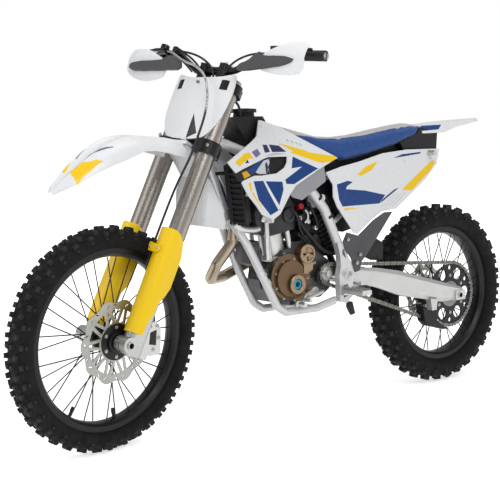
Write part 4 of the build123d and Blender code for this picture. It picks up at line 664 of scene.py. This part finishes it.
front_axle = Vector(JOINTS["front_wheel_spin"]["pos_m"])
rear_axle = Vector(JOINTS["rear_wheel_spin"]["pos_m"])
front_profile = [(0, 337), (14, 336), (26, 332), (35, 325), (41, 315), (43, 304), (41, 293), (36, 285),
                 (29, 281.5), (22.7, 280), (22.7, 267.4)]
rear_profile = [(0, 330), (18, 329), (34, 324), (45, 315), (52, 301), (54, 286), (50, 271), (42, 261),
                (34, 258), (28.7, 257), (28.7, 243.4)]
tyre("front_tyre_knobs", "front_wheel", "front_tyre", front_axle, JOINTS["front_wheel_spin"]["axis"],
     front_profile, mirrored([
         (8.5, 336, 3, (15, 12, 12), 6, 0),
         (21.5, 333.2, 13, (17, 11.5, 11.5), -8, 0.5),
         (34, 325.5, 34, (18, 11, 9.5), 0, 0),
         (40.6, 314.5, 70, (11, 9, 3), 0, 0)]), 36)
tyre("rear_tyre_knobs", "rear_wheel", "rear_tyre", rear_axle, JOINTS["rear_wheel_spin"]["axis"],
     rear_profile, mirrored([
         (9.5, 329.5, 2, (18, 15, 14), 0, 0),
         (27, 326, 13, (20, 14, 13), -10, 0.5),
         (43, 316, 36, (21, 13, 10), 0, 0),
         (51.2, 302, 72, (12, 10, 3.2), 0, 0)]), 32)


# ---- discs, sprockets and chain ----------------------------------------------------------
def polar(radius, degrees):
    return radius * math.cos(math.radians(degrees)), radius * math.sin(math.radians(degrees))


def round_hole(x, y, radius, sides=24):
    return [(x + radius * math.cos(2 * math.pi * n / sides), y + radius * math.sin(2 * math.pi * n / sides))
            for n in range(sides)]


def wave_disc(radius, inner, waves):
    """Scalloped brake disc: a band with slanted slots, carried by zigzag spokes."""
    edge = [polar(radius - 5 + 5 * math.cos(math.radians(waves * a)), a) for a in range(0, 360, 2)]
    cut = [round_hole(0, 0, inner, 48)]
    step = 360 / waves
    low, high = inner + 24, radius - 30
    for number in range(waves):
        a = number * step
        for flip in (0, 1):
            turn = a + step * flip / 2
            base, tip = (high, low) if flip else (low, high)
            wide = step * (0.29 if flip else 0.22)
            cut.append([polar(base, turn - wide), polar(base, turn), polar(base, turn + wide),
                        polar(tip, turn + 1.5), polar(tip, turn - 1.5)])
        for lean, at in ((7, 0.0), (-7, 0.5)):
            turn = a + at * step
            cut.append([polar(radius - 21, turn - 1.3), polar(radius - 21, turn + 1.3),
                        polar(radius - 11, turn + 1.3 + lean * 0.6),
                        polar(radius - 11, turn - 1.3 + lean * 0.6)])
    return [edge] + cut


FRONT_SPIN = Vector(JOINTS["front_wheel_spin"]["axis"]).normalized()
FRONT_DISC, REAR_DISC, SPROCKET = 0.048, -0.06, 0.068  # metres to the left of the wheels' middles


def wheel_point(centre, spin, y, radius, degrees):
    """Point of a wheel at a distance to the left, a radius and an angle from straight up, forwards."""
    ahead = spin.cross(UP).normalized()
    over = ahead.cross(spin)
    a = math.radians(degrees)
    return centre + spin * (y / 1000) + (over * math.cos(a) + ahead * math.sin(a)) * (radius / 1000)


Shape().holed(wave_disc(130, 36, 10), front_axle + FRONT_SPIN * FRONT_DISC, FRONT_SPIN, 3).made(
    "front_disc_wave", "front_wheel", "disc_steel", "front_disc")
Shape().holed(wave_disc(110, 40, 10), rear_axle + LEFT * REAR_DISC, LEFT, 3).made(
    "rear_disc_wave", "rear_wheel", "disc_steel", "rear_disc")
carrier = Shape()
carrier.lathe(front_axle + FRONT_SPIN * 0.0496, FRONT_SPIN, [(0, 56), (1.6, 56), (2.2, 53)], 48)
carrier.lathe(front_axle + FRONT_SPIN * 0.0496, FRONT_SPIN, [(0, 34), (9, 33), (11, 28)], 40)
# the valve and the rim lock, from their places up and ahead of the axle
for up_axle, ahead_axle in ((-237.8, 26.9), (-199.6, -130.9)):
    foot = front_axle + STEER_AXIS * (up_axle / 1000) + STEER_AHEAD * (ahead_axle / 1000)
    inwards = (front_axle - foot).normalized()
    carrier.lathe(foot - inwards * 0.03, inwards, [(0, 4.5), (30, 4.5), (31, 6), (44, 6), (45, 5)], 16)
carrier.made("front_carrier", "front_wheel", "black_aluminium")
wheel_bolts = Shape()
for number in range(6):
    wheel_bolts.bolt(wheel_point(front_axle, FRONT_SPIN, 51.8, 45, 60 * number), FRONT_SPIN, 4.2, 4)
wheel_bolts.made("front_disc_bolts", "front_wheel", "steel")

SPROCKET_POINTS, TIP_RADIUS = 48 * 4, 115.7  # 48 teeth of four points each
teeth = [polar(TIP_RADIUS - (0, 0.6, 4, 0.6)[number % 4], number * 360 / SPROCKET_POINTS)
         for number in range(SPROCKET_POINTS)]
gaps = [round_hole(0, 0, 50, 40)]
for number in range(6):
    gaps += [round_hole(*polar(85, 60 * number), 22.5, 28), round_hole(*polar(101, 60 * number + 30), 8.5)]
Shape().holed([teeth] + gaps, rear_axle + LEFT * SPROCKET, LEFT, 6.2).made(
    "rear_sprocket_plate", "rear_wheel", "black_aluminium", "rear_sprocket")
sprocket_bolts, collar = Shape(), Shape()
for number in range(6):
    sprocket_bolts.bolt(wheel_point(rear_axle, LEFT, 71.4, 72, 60 * number), LEFT, 4.6, 4)
sprocket_bolts.made("sprocket_bolts", "rear_wheel", "steel")
collar.lathe(rear_axle + LEFT * 0.0648, LEFT, [(0, 50.5), (5, 50.5), (7, 48), (7, 30), (4, 26)], 48)
collar.made("rear_hub_collar", "rear_wheel", "cast_aluminium")

PITCH, REAR_PITCH_R, DRIVE_PITCH_R = 15.875, 121.27, 32.85  # of a 5/8 inch chain, in millimetres


def chain_path():
    """Pin places in side view, evenly spaced round the two sprockets."""
    rear, drive = Vector((-560.0, 344.0)), Vector((78.0, 478.0))
    run = drive - rear
    slope = math.atan2(run.y, run.x)
    swing = math.acos((REAR_PITCH_R - DRIVE_PITCH_R) / run.length)
    line = []
    for centre, radius, first, last in ((rear, REAR_PITCH_R, slope + swing, slope + 2 * math.pi - swing),
                                        (drive, DRIVE_PITCH_R, slope - swing, slope + swing)):
        for number in range(121):
            a = first + (last - first) * number / 120
            line.append(centre + Vector((math.cos(a), math.sin(a))) * radius)
    line.append(line[0])
    total = sum((b - a).length for a, b in zip(line, line[1:]))
    count = round(total / PITCH / 2) * 2
    pins, gone, number = [], 0.0, 0
    for a, b in zip(line, line[1:]):
        length = (b - a).length
        while number < count and number * total / count <= gone + length:
            pins.append(a.lerp(b, (number * total / count - gone) / length))
            number += 1
        gone += length
    return pins


chain = Shape()
pins = chain_path()
for number, (a, b) in enumerate(zip(pins, pins[1:] + pins[:1])):
    run = (b - a).normalized()
    side = Vector((-run.y, run.x))
    half = 7.2 if number % 2 else 6.6
    shape = []
    for centre, way in ((a, -1), (b, 1)):
        for degrees in (-100, -60, -20, 20, 60, 100):
            t = math.radians(degrees)
            shape.append(centre + run * (way * half * math.cos(t)) + side * (way * half * math.sin(t)))
        shape.append((a + b) / 2 + side * (way * half * 0.62))
    for y in ((60.2, 73.9) if number % 2 else (62.2, 71.9)):
        chain.slab([place(point.x, y, point.y) for point in shape], LEFT * 0.0019)
    chain.lathe(place(a.x, 60.4, a.y), LEFT, [(0, 2.6), (15.4, 2.6)], 8)
    chain.lathe(place(a.x, 63.6, a.y), LEFT, [(0, 5.0), (8.6, 5.0)], 10)
chain.made("chain_links", "chassis", "chain_steel", "chain")

peg = Shape()
for number in range(10):
    for x in (13.5, 52.5):
        foot = place(x, 130 + 9 * number, 428)
        peg.lathe(foot, UP, [(-4, 4.4), (2, 3.4), (6.5, 0.8)], 5)
peg.made("peg_teeth", "chassis", "steel")


# ---- seat cushion -------------------------------------------------------------------------
def remeshed(piece, size):
    """The piece's surface as an even mesh of that voxel size."""
    remesh = piece.modifiers.new("remesh", "REMESH")
    remesh.mode = "VOXEL"
    remesh.voxel_size = size
    remesh.use_smooth_shade = True
    fixed(piece)


def fixed(piece):
    """Applies the piece's modifiers."""
    graph = bpy.context.evaluated_depsgraph_get()
    mesh = bpy.data.meshes.new_from_object(piece.evaluated_get(graph))
    piece.modifiers.clear()
    old = piece.data
    piece.data = mesh
    bpy.data.meshes.remove(old)


def stuffed(source, name, body, look, shrink, cap):
    """Foam pad blown up by cloth from a slightly smaller copy of a CAD solid."""
    pad = own(source.data.copy(), name, body, look, source.name)
    shape = bmesh.new()
    shape.from_mesh(pad.data)
    bmesh.ops.remove_doubles(shape, verts=shape.verts, dist=1e-5)
    bmesh.ops.recalc_face_normals(shape, faces=shape.faces)
    shape.to_mesh(pad.data)
    shape.free()
    remeshed(pad, 0.005)
    smooth = pad.modifiers.new("smooth", "SMOOTH")
    smooth.factor = 0.5
    smooth.iterations = 6
    fixed(pad)
    shape = bmesh.new()
    shape.from_mesh(pad.data)
    shape.normal_update()
    for vert in shape.verts:
        vert.co -= vert.normal * shrink
    shape.to_mesh(pad.data)
    shape.free()
    before = [vert.co.copy() for vert in pad.data.vertices]
    cloth = pad.modifiers.new("cloth", "CLOTH")
    cloth.settings.quality = 5
    cloth.settings.mass = 0.3
    cloth.settings.tension_stiffness = cloth.settings.compression_stiffness = 20
    cloth.settings.bending_stiffness = 1.0
    cloth.settings.use_pressure = True
    cloth.settings.uniform_pressure_force = 4
    cloth.settings.effector_weights.gravity = 0
    for number in range(1, 21):
        bpy.context.scene.frame_set(number)
    fixed(pad)
    for vert, start in zip(pad.data.vertices, before):
        move = vert.co - start
        if move.length > cap:
            vert.co = start + move * (cap / move.length)
    bpy.context.scene.frame_set(1)
    pad.data.polygons.foreach_set("use_smooth", [True] * len(pad.data.polygons))
    return pad


seat = stuffed(NODES["seat"], "seat_cushion", "chassis", "seat_cover", 0.004, 0.006)


# ---- number plate, hand guards and front fender -------------------------------------------
def plate_bulge(y, up):
    """The plate curves back at its sides and foot, with a ridge down its middle."""
    share = min(abs(y) / 134, 1.05)
    low = max(1150 - up, 0) / 110
    return steered(up, 68 - 20 * share ** 2.6 + 3 * math.cos(min(abs(y) / 30, math.pi)) - 6 * low ** 2, y)


plate_half = [(0, 1239), (70, 1246), (122, 1262), (132, 1258), (138, 1216), (137, 1167), (127, 1104),
              (95, 1048),
              (58, 1034), (0, 1029)]
Shape().sheet(plate_half + [(-y, up) for y, up in plate_half[-2:0:-1]], plate_bulge, 3, 12, 1).made(
    "number_plate_shell", "steering", "plate_white", "number_plate")


def guard_ahead(y):
    """How far ahead a hand guard stands at a distance from the middle."""
    plan = [(0, 62), (130, 66), (170, 74), (248, 82), (300, 84), (350, 78), (390, 66), (420, 52)]
    for (y1, a1), (y2, a2) in zip(plan, plan[1:]):
        if abs(y) <= y2:
            return a1 + (a2 - a1) * (abs(y) - y1) / (y2 - y1)
    return plan[-1][1]


def guard_bulge(y, up):
    """A guard curves back above and below its middle, and its upper part stands further ahead."""
    middle = 1296
    return steered(up, guard_ahead(y) - 10 * ((up - middle) / 60) ** 2 + (4 if up > middle + 12 else 0), y)


def arm_bulge(y, up):
    return steered(up, guard_ahead(y) + 7, y)


shells, arms = Shape(), Shape()
shells.sheet([(245, 1312), (292, 1338), (345, 1362), (396, 1366), (398, 1330), (408, 1267), (379, 1253),
              (316, 1249), (246, 1264)], guard_bulge, 3, 10, 1)
shells.sheet([(-404, 1346), (-341, 1344), (-275, 1333), (-233, 1316), (-190, 1296), (-176, 1246),
              (-231, 1228),
              (-279, 1224), (-337, 1236), (-398, 1272), (-408, 1312)], guard_bulge, 3, 10, 1)
arms.sheet([(150, 1284), (192, 1292), (214, 1312), (238, 1324), (250, 1304), (373, 1306), (366, 1286),
            (323, 1271),
            (230, 1261), (150, 1262)], arm_bulge, 9, 10, 1)
arms.sheet([(-372, 1284), (-352, 1288), (-212, 1294), (-190, 1310), (-160, 1316), (-124, 1300), (-112, 1270),
            (-178, 1262), (-314, 1254), (-360, 1266)], arm_bulge, 9, 10, 1)
for side in (1, -1):
    arms.bar(steered(1286, 82, side * 205), steered(1352, 22, side * 228), 7)
    clamp = steered(1349, 19, side * 222)
    arms.lathe(clamp, steered(1351, 12, side * 238) - clamp, [(0, 17), (16, 17)], 24)
shells.made("handguard_shells", "steering", "white_plastic", "handguards")
arms.made("handguard_arms", "steering", "dark_grey_plastic", "handguard_brackets")

WALL = 3.2  # millimetres, of the front fender


def hollow(outer, raised):
    """Closed ring of a wall under half an outline, from the middle out, and its mirror image."""
    inner = [(max(y - WALL, 0), z + raised) for y, z in outer[:-1]] + [(outer[-1][0] - WALL, outer[-1][1])]
    return [(-y, z) for y, z in outer[::-1]] + outer[1:] + inner[::-1] + [(-y, z) for y, z in inner[1:]]


# x, top, half width, drop at the lip
FENDER = [(1137, 808, 15, 10), (1122, 826, 30, 18), (1092, 852, 46, 30), (1056, 879, 58, 38),
          (1012, 910, 66, 46), (966, 936, 71, 54), (920, 953, 74, 57), (884, 960, 75, 52), (850, 962, 75, 42),
          (800, 960, 74, 40), (740, 956, 72, 46), (690, 948, 68, 50), (656, 940, 62, 50)]
# shares of the half width and of the drop, from the middle out
PROFILE = [(0, -0.04), (0.26, -0.03), (0.34, 0.05), (0.44, 0.05), (0.56, -0.16), (0.72, -0.3), (0.9, -0.55),
           (1.0, -1.0)]
wing = Shape()
wing.loft([[level(x, y, height)
            for y, height in hollow([(y * half, top + z * drop) for y, z in PROFILE], -WALL)]
           for x, top, half, drop in FENDER])
# ahead and up of the front edge, of the rear edge, half width
SKIRT = [((78, 1004), (40, 1000), 60), ((6, 986), (-10, 966), 62), ((-40, 950), (-66, 938), 68),
         ((-48, 945), (-90, 915), 74), ((-44, 900), (-140, 880), 80), ((-60, 850), (-176, 846), 76),
         ((-95, 800), (-188, 826), 66)]
SKIRT_PROFILE = [(0, 0.02), (0.5, 0.02), (0.8, 0.08), (0.95, 0.2), (1.0, 1.0)]
rows = []
for (ahead, up), (ahead_low, up_low), half in SKIRT:
    top, drop = steered(up, ahead, 0), steered(up_low, ahead_low, 0) - steered(up, ahead, 0)
    rows.append([top + drop * share + STEER_LEFT * (y / 1000)
                 for y, share in hollow([(y * half, share) for y, share in SKIRT_PROFILE], 0.05)])
wing.loft(rows)
wing.slab([steered(1010, 20, 40), steered(1010, 72, 44), steered(1010, 72, -44), steered(1010, 20, -40)],
          STEER_AXIS * 0.012, 3)
wing.made("front_fender_shell", "steering", "front_fender_white", "front_fender")


# ---- cables and fittings of the fork ------------------------------------------------------
fittings = Shape()
for side in (1, -1):
    for up in (1020, 1044):
        fittings.bolt(steered(up, 50, side * 116), STEER_AHEAD, 4.5, 3)
    for y in (34, 56):
        for ahead in (10, 38):
            fittings.bolt(steered(1306, ahead, side * y), STEER_AXIS, 4.5, 5)
for side in (1, -1):
    fittings.lathe(steered(1358, -14.5, side * 406), STEER_LEFT * side,
                   [(-4, 16.6), (-1, 16.6), (0.5, 14), (0.5, 9), (-3, 8)])
for x, height in ((824, 386), (796, 384), (812, 312), (790, 346)):
    fittings.bolt(level(x, 78.4, height), STEER_LEFT, 5, 4)
for up, y in ((663, 66), (663, 100)):
    fittings.bolt(steered(up, 80.5, y), STEER_AHEAD, 3.2, 3)
fittings.made("fork_fittings", "steering", "steel")
clip = Shape()
clip.slab([steered(up, 78, y) for up, y in ((661, 59), (677, 70), (675, 106), (659, 112), (649, 97),
                                            (652, 62))], STEER_AHEAD * 0.0025, 0.6)
clip.made("hose_clip_plate", "steering", "yellow_plastic")
cables = Shape()
tubes(cables, steered,
      (3.6, (1352, 26, -212), (1354, 34, -196), (1344, 50, -142), (1326, 52, -64), (1290, 48, 8),
       (1240, 44, 34),
       (1150, 34, 40)),
      (3.6, (1346, 30, -212), (1346, 44, -176), (1330, 54, -120), (1288, 50, -48), (1240, 44, -10),
       (1150, 34, 20)),
      (3.4, (1346, 30, 214), (1330, 56, 160), (1296, 58, 96), (1240, 46, 60), (1120, 40, 30)),
      (2.6, (1338, 26, -216), (1322, 40, -170), (1302, 44, -130), (1276, 40, -90)))
cables.lathe(steered(1352, 8, -214), -STEER_LEFT, [(0, 22), (24, 22), (27, 19)], 24)
cables.slab([steered(1332, ahead, y) for ahead, y in ((20, -196), (52, -196), (52, -214), (20, -214))],
            STEER_AXIS * 0.034, 4)
cables.bar(steered(1290, 62, -150), steered(1272, 66, -150), 8)
cables.slab([level(x, 78, height) for x, height in ((800, 372), (824, 366), (828, 330), (802, 324))],
            STEER_LEFT * 0.0016, 0.6)
cables.made("control_cables", "steering", "hose_rubber")
vent = Shape()
tubes(vent, steered,
      (4.2, (1216, -30, 52), (1216, -62, 64), (1180, -98, 60), (1136, -110, 46), (1100, -112, 30)))
breather = vent.made("tank_breather", None, "hose_rubber")
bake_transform(breather)

cap = Shape()
lobes = []
for degrees in range(0, 360, 5):
    a = math.radians(degrees)
    r = 41 + 1.6 * math.cos(10 * a)  # ten lobes
    lobes.append(place(378 + r * math.cos(a), r * math.sin(a), 1034))
cap.slab(lobes, UP * 0.012, 2.5)
cap.lathe(place(378, 0, 1019), UP, [(0, 36), (15, 34)], 40)
cap.lathe(place(378, 0, 1044), UP, [(0, 28), (3, 27), (3.5, 20)], 32)
cap.made("fuel_cap_lobed", "chassis", "black_plastic", "fuel_cap")


# ---- engine bay --------------------------------------------------------------------------
LEAN = math.radians(10)  # of the cylinder, forwards
BORE = Vector((math.sin(LEAN), 0, math.cos(LEAN)))
BORE_SIDE = Vector((math.cos(LEAN), 0, -math.sin(LEAN)))
barrel_foot = place(262, 0, 545)


def barrel_place(ahead, y):
    """Place at the barrel's foot, in millimetres ahead of the bore and to the left."""
    return barrel_foot + BORE_SIDE * (ahead / 1000) + LEFT * (y / 1000)


barrel = Shape()
barrel.lathe(barrel_foot, BORE, [(0, 52), (8, 52), (9, 42), (84, 42), (86, 50), (98, 50)], 40)
barrel.slab([barrel_place(a, b) for a, b in ((-56, -50), (56, -50), (56, 50), (-56, 50))], BORE * 0.012, 3)
for a in (-44, 46):
    for b in (-42, 42):
        barrel.bar(barrel_place(a, b), barrel_place(a, b) + BORE * 0.118, 8.5)
barrel.made("cylinder_barrel", "chassis", "bare_aluminium", "cylinder")

head = Shape()
upright(head,
        (-54, 108, 9, (206, 640), (312, 622), (372, 640), (384, 706), (366, 738), (236, 760), (208, 728)),
        (-48, 96, 10, (222, 740), (366, 720), (356, 752), (240, 774)))
turned(head,
       ((236, 40, 690), (0, 26), (20, 26), (22, 23), (22, 14), (18, 12)),
       ((330, 40, 668), (0, 20), (18, 20), (20, 17)))
head.lathe(place(384, 0, 672), BORE_SIDE, [(-20, 30), (0, 30), (2, 28)])
head.made("head_casting", "chassis", "head_casting", "cylinder_head")

dark = Shape()
# the two large black sheets at the back fill the engine bay's dark depth under the tank: partly its black intake
# parts, partly painted shade
upright(dark,
        (-14, 34, 3, (244, 730), (145, 745), (90, 720), (54, 630), (60, 560), (102, 552), (153, 573),
         (198, 600), (214, 662)),
        (-20, 50, 4, (60, 812), (-16, 806), (-39, 709), (-87, 624), (-38, 613), (-9, 651), (28, 720)))
for start, end, radius in (((210, 0, 668), (120, 0, 706), 33), ((176, 10, 682), (176, 58, 676), 15),
                           ((150, 0, 640), (150, 46, 640), 20), ((118, 20, 612), (118, 58, 606), 13),
                           ((196, 8, 630), (186, 56, 622), 11)):
    dark.bar(place(*start), place(*end), radius)
upright(dark,
        (40, 18, 3, (176, 708), (142, 716), (134, 690), (168, 680)),
        (36, 20, 3, (128, 676), (104, 684), (92, 652), (118, 644)),
        (40, 16, 3, (52, 690), (24, 700), (2, 650), (34, 640)),
        (50, 4, 1, (-122, 586), (-162, 592), (-214, 566), (-214, 500), (-151, 506), (-111, 523)),
        (72, 10, 2, (-8, 374), (-33, 370), (-46, 326), (-26, 322), (-8, 352)))
# the guard's four arcs round the drive sprocket
for angle in (160, 215, 268, 320):
    a, b = math.radians(angle), math.radians(angle + 46)
    dark.tube([place(78 - 46 * math.cos(t), 70, 470 - 46 * math.sin(t)) for t in (a, (a + b) / 2, b)], 6)
for side in (-1, 1):
    for x, height, run in ((88, 679, Vector((65, 0, 130))), (136, 745, Vector((60, 0, 65)))):
        dark.lathe(place(x, side * 88, height), run, [(-5, 17.4), (-5, 18.8), (5, 18.8), (5, 17.4)], 28)
dark.made("intake_parts_and_shade_fill", "chassis", "black_plastic")

hoses = Shape()
tubes(hoses, place,
      (7, (214, 60, 700), (182, 64, 645), (140, 64, 604), (94, 64, 560), (40, 62, 542), (0, 60, 556)),
      (6, (190, 52, 622), (162, 58, 592), (150, 58, 548)),
      (4.5, (232, 62, 716), (206, 66, 684), (196, 64, 640), (172, 60, 612)),
      (4, (150, 60, 730), (140, 66, 700), (120, 66, 670), (112, 60, 640)),
      (5, (30, 40, 800), (20, 62, 770), (30, 66, 730), (4, 62, 700), (12, 50, 660)),
      (4, (8, 30, 790), (-4, 60, 752), (-6, 60, 712), (-30, 50, 680)))
hoses.made("engine_hoses", "chassis", "hose_rubber")

pipes = Shape()
tubes(pipes, place,
      (12, (470, 60, 676), (446, 56, 655), (390, 52, 648), (366, 50, 652)),
      (9, (338, 58, 672), (336, 58, 640), (334, 56, 590), (330, 54, 545)), sides=18)
upright(pipes, (48, 12, 2, (300, 690), (352, 696), (360, 676), (330, 664), (306, 668)))
tubes(pipes, place,
      (4, (166, 60, 704), (158, 66, 690), (160, 64, 668), (172, 62, 660)),
      (6, (162, 84, 428), (196, 92, 418), (214, 100, 398), (232, 104, 388)))
pipes.bar(place(228, 96, 390), place(228, 128, 390), 8)
turned(pipes, ((148, 60, 424), (0, 17), (26, 17), (28, 13)))
for x, height, r in ((190, 676, 9), (150, 664, 8), (116, 640, 8), (140, 694, 6)):
    pipes.lathe(place(x, 44, height), LEFT, [(0, r), (16, r), (17, r - 2), (17, r - 4), (14, r - 4)], 18)
pipes.made("coolant_pipes", "chassis", "bare_aluminium")

casting = Shape()
upright(casting, (-36, 74, 8, (402, 606), (352, 612), (340, 540), (352, 520), (396, 536)))
turned(casting,
       ((372, 30, 570), (0, 26), (14, 26), (16, 23), (16, 12), (13, 12)),
       ((150, -30, 592), (0, 24), (70, 24), (73, 20), (73, 8), (70, 8)),
       ((345, 30, 500), (0, 18), (26, 18), (28, 14)))
upright(casting, (40, 20, 4, (148, 470), (120, 470), (112, 420), (132, 404), (160, 412)))
casting.made("engine_castings", "chassis", "case_magnesium")

cover = Shape()
turned(cover, ((180, 78, 556), (0, 33), (9, 33), (11, 31), (11, 24), (8, 24)), sides=36)
hub = place(180, 84, 556)
for angle in (90, 210, 330):
    a = math.radians(angle)
    along, aside = Vector((math.cos(a), 0, math.sin(a))), Vector((-math.sin(a), 0, math.cos(a)))
    cover.slab([hub + along * u / 1000 + aside * v / 1000 for u, v in ((0, -4), (27, -4), (27, 4), (0, 4))],
               LEFT * 0.0045, 0.8)
turned(cover, ((180, 82, 556), (0, 9), (6.5, 9), (7.5, 7)), sides=20)
turned(cover, ((227, 84, 456), (0, 33.5), (5, 33.5), (7, 31), (7, 20), (5.5, 18), (0, 18)), sides=40)
upright(cover, (72, 8, 2, (208, 536), (190, 516), (196, 490), (176, 486), (152, 500), (150, 528), (168, 524)))
cover.made("cover_rings", "chassis", "bronze_light")

well = Shape()
turned(well, ((180, 78, 556), (0, 25), (6.2, 25)), sides=32)
turned(well, ((227, 80, 456), (0, 8), (7.6, 8)), sides=24)
well.made("cover_wells", "chassis", "black_aluminium")

plug = Shape()
turned(plug, ((227, 74, 456), (0, 17.5), (11, 17.5), (12.5, 15.5), (12.5, 9.5), (9, 8.2)), sides=32)
plug.made("ignition_plug", "chassis", "cyan_anodised")
red = Shape()
red.lathe(place(186, 52, 716), LEFT + Vector((0.2, 0, 0.2)), [(0, 11), (12, 11), (15, 9), (16, 5)], 18)
red.made("throttle_cap", "chassis", "red_plastic")

bolts = Shape()
for number in range(9):
    a = math.radians(20 + 40 * number)
    bolts.bolt(place(239 + 71 * math.cos(a), 68, 472 + 71 * math.sin(a)), LEFT, 3.4, 5)
for x, y, height, r in (
        (17, 124, 476, 7.5), (20, 117, 596, 4.5), (-22, 117, 512, 5), (-38, 117, 540, 4.5), (78, 62, 478, 8),
        (357, 70, 498, 6), (200, 64, 378, 5), (322, 58, 478, 4), (300, 58, 530, 4), (150, 60, 560, 4),
        (128, 60, 520, 4), (262, 58, 560, 4)):
    bolts.bolt(place(x, y, height), LEFT, r, 5)
for x, height in ((300, 927), (371, 986), (340, 716), (120, 862)):
    bolts.bolt(place(x, skin_y(x, height) + 0.2, height), LEFT, 3.6, 3)
bolts.made("engine_bolts", "chassis", "steel")

# painted shade: black sheets just inside the shroud's vent make the vent's hollow read dark
vent_shade = Shape()
for side in (1, -1):
    vent_shade.slab([place(x, side * (skin_y(x, height) - 8), height)
                 for x, height in ((352, 905), (262, 900), (258, 815), (352, 818))], LEFT * (0.001 * side))
vent_shade.made("vent_shade_sheet", "chassis", "black_plastic")


# ---- stage -------------------------------------------------------------------------------
ground = bpy.data.meshes.new("floor")
ground.from_pydata([(x, y, GROUND) for x, y in ((-30, -30), (30, -30), (30, 30), (-30, 30))], [],
                   [(0, 1, 2, 3)])
floor = bpy.data.objects.new("floor", ground)
bpy.context.scene.collection.objects.link(floor)
tree, shader = blank("floor_white")
seen = new(tree, "LightPath")
shown = maths(tree, "MAXIMUM", seen.outputs["Is Camera Ray"], seen.outputs["Is Glossy Ray"])
distance = new(tree, "VectorMath", (0, where(tree)))
distance.operation = "LENGTH"
# a soft pool of grey about the bike, white from 3.2 metres out
glow = spread(tree, distance.outputs["Value"], 0.62, 1.0, 1.3, 3.2)
feed(tree, shader, ("Base Color", (0.9, 0.9, 0.9, 1)), ("Roughness", 0.9), ("Specular IOR Level", 0.1),
     ("Emission Color", (1, 1, 1, 1)), ("Emission Strength", maths(tree, "MULTIPLY", shown, glow)))
floor.data.materials.append(LOOKS["floor_white"])

world = bpy.data.worlds.new("studio")
bpy.context.scene.world = world
world.use_nodes = True
tree = world.node_tree
seen = new(tree, "LightPath").outputs["Is Camera Ray"]
feed(tree, tree.nodes["Background"], ("Color", (1, 1, 1, 1)),
     ("Strength", maths(tree, "ADD", maths(tree, "MULTIPLY", seen, 0.5), 0.5)))


def lamp(name, stand, target, size, power):
    """Rectangular soft lamp aimed at a target."""
    data = bpy.data.lights.new(name, "AREA")
    data.shape = "RECTANGLE"
    data.size, data.size_y = size
    data.energy = power
    piece = bpy.data.objects.new(name, data)
    bpy.context.scene.collection.objects.link(piece)
    piece.location = stand
    piece.rotation_euler = (Vector(target) - Vector(stand)).to_track_quat("-Z", "Y").to_euler()


lamp("key", (1.2, 3.6, 2.6), (0.1, 0, -0.4), (2.6, 1.6), 68)
lamp("fill", (3.6, -0.6, 1.2), (0.3, 0, -0.5), (2.2, 2.2), 26)
lamp("top", (0.0, 0.0, 3.4), (0.1, 0, -0.4), (3.2, 2.2), 34)

bpy.context.scene.view_settings.view_transform = "Standard"

# the photograph's camera: degrees, metres, and a focal length in pixels of its frame
CAMERA_PLACE = (2.59917, 2.81859, -0.02191)
FOCAL, FRAME, SENSOR = 1079.13, 500, 36
AZIMUTH, ELEVATION, ROLL = (math.radians(angle) for angle in (141.56, 5.54, -1.07))
backward = Vector((math.sin(AZIMUTH) * math.cos(ELEVATION), -math.cos(AZIMUTH) * math.cos(ELEVATION),
                   math.sin(ELEVATION)))
right = UP.cross(backward).normalized()
upward = backward.cross(right)
turned_right = right * math.cos(ROLL) + upward * math.sin(ROLL)
turned_up = upward * math.cos(ROLL) - right * math.sin(ROLL)
camera = bpy.data.objects.new("camera", bpy.data.cameras.new("camera"))
bpy.context.scene.collection.objects.link(camera)
camera.data.sensor_width = SENSOR
camera.data.lens = FOCAL * SENSOR / FRAME
turn = Matrix((turned_right, turned_up, backward)).transposed().to_4x4()
camera.matrix_world = Matrix.Translation(CAMERA_PLACE) @ turn
bpy.context.scene.camera = camera
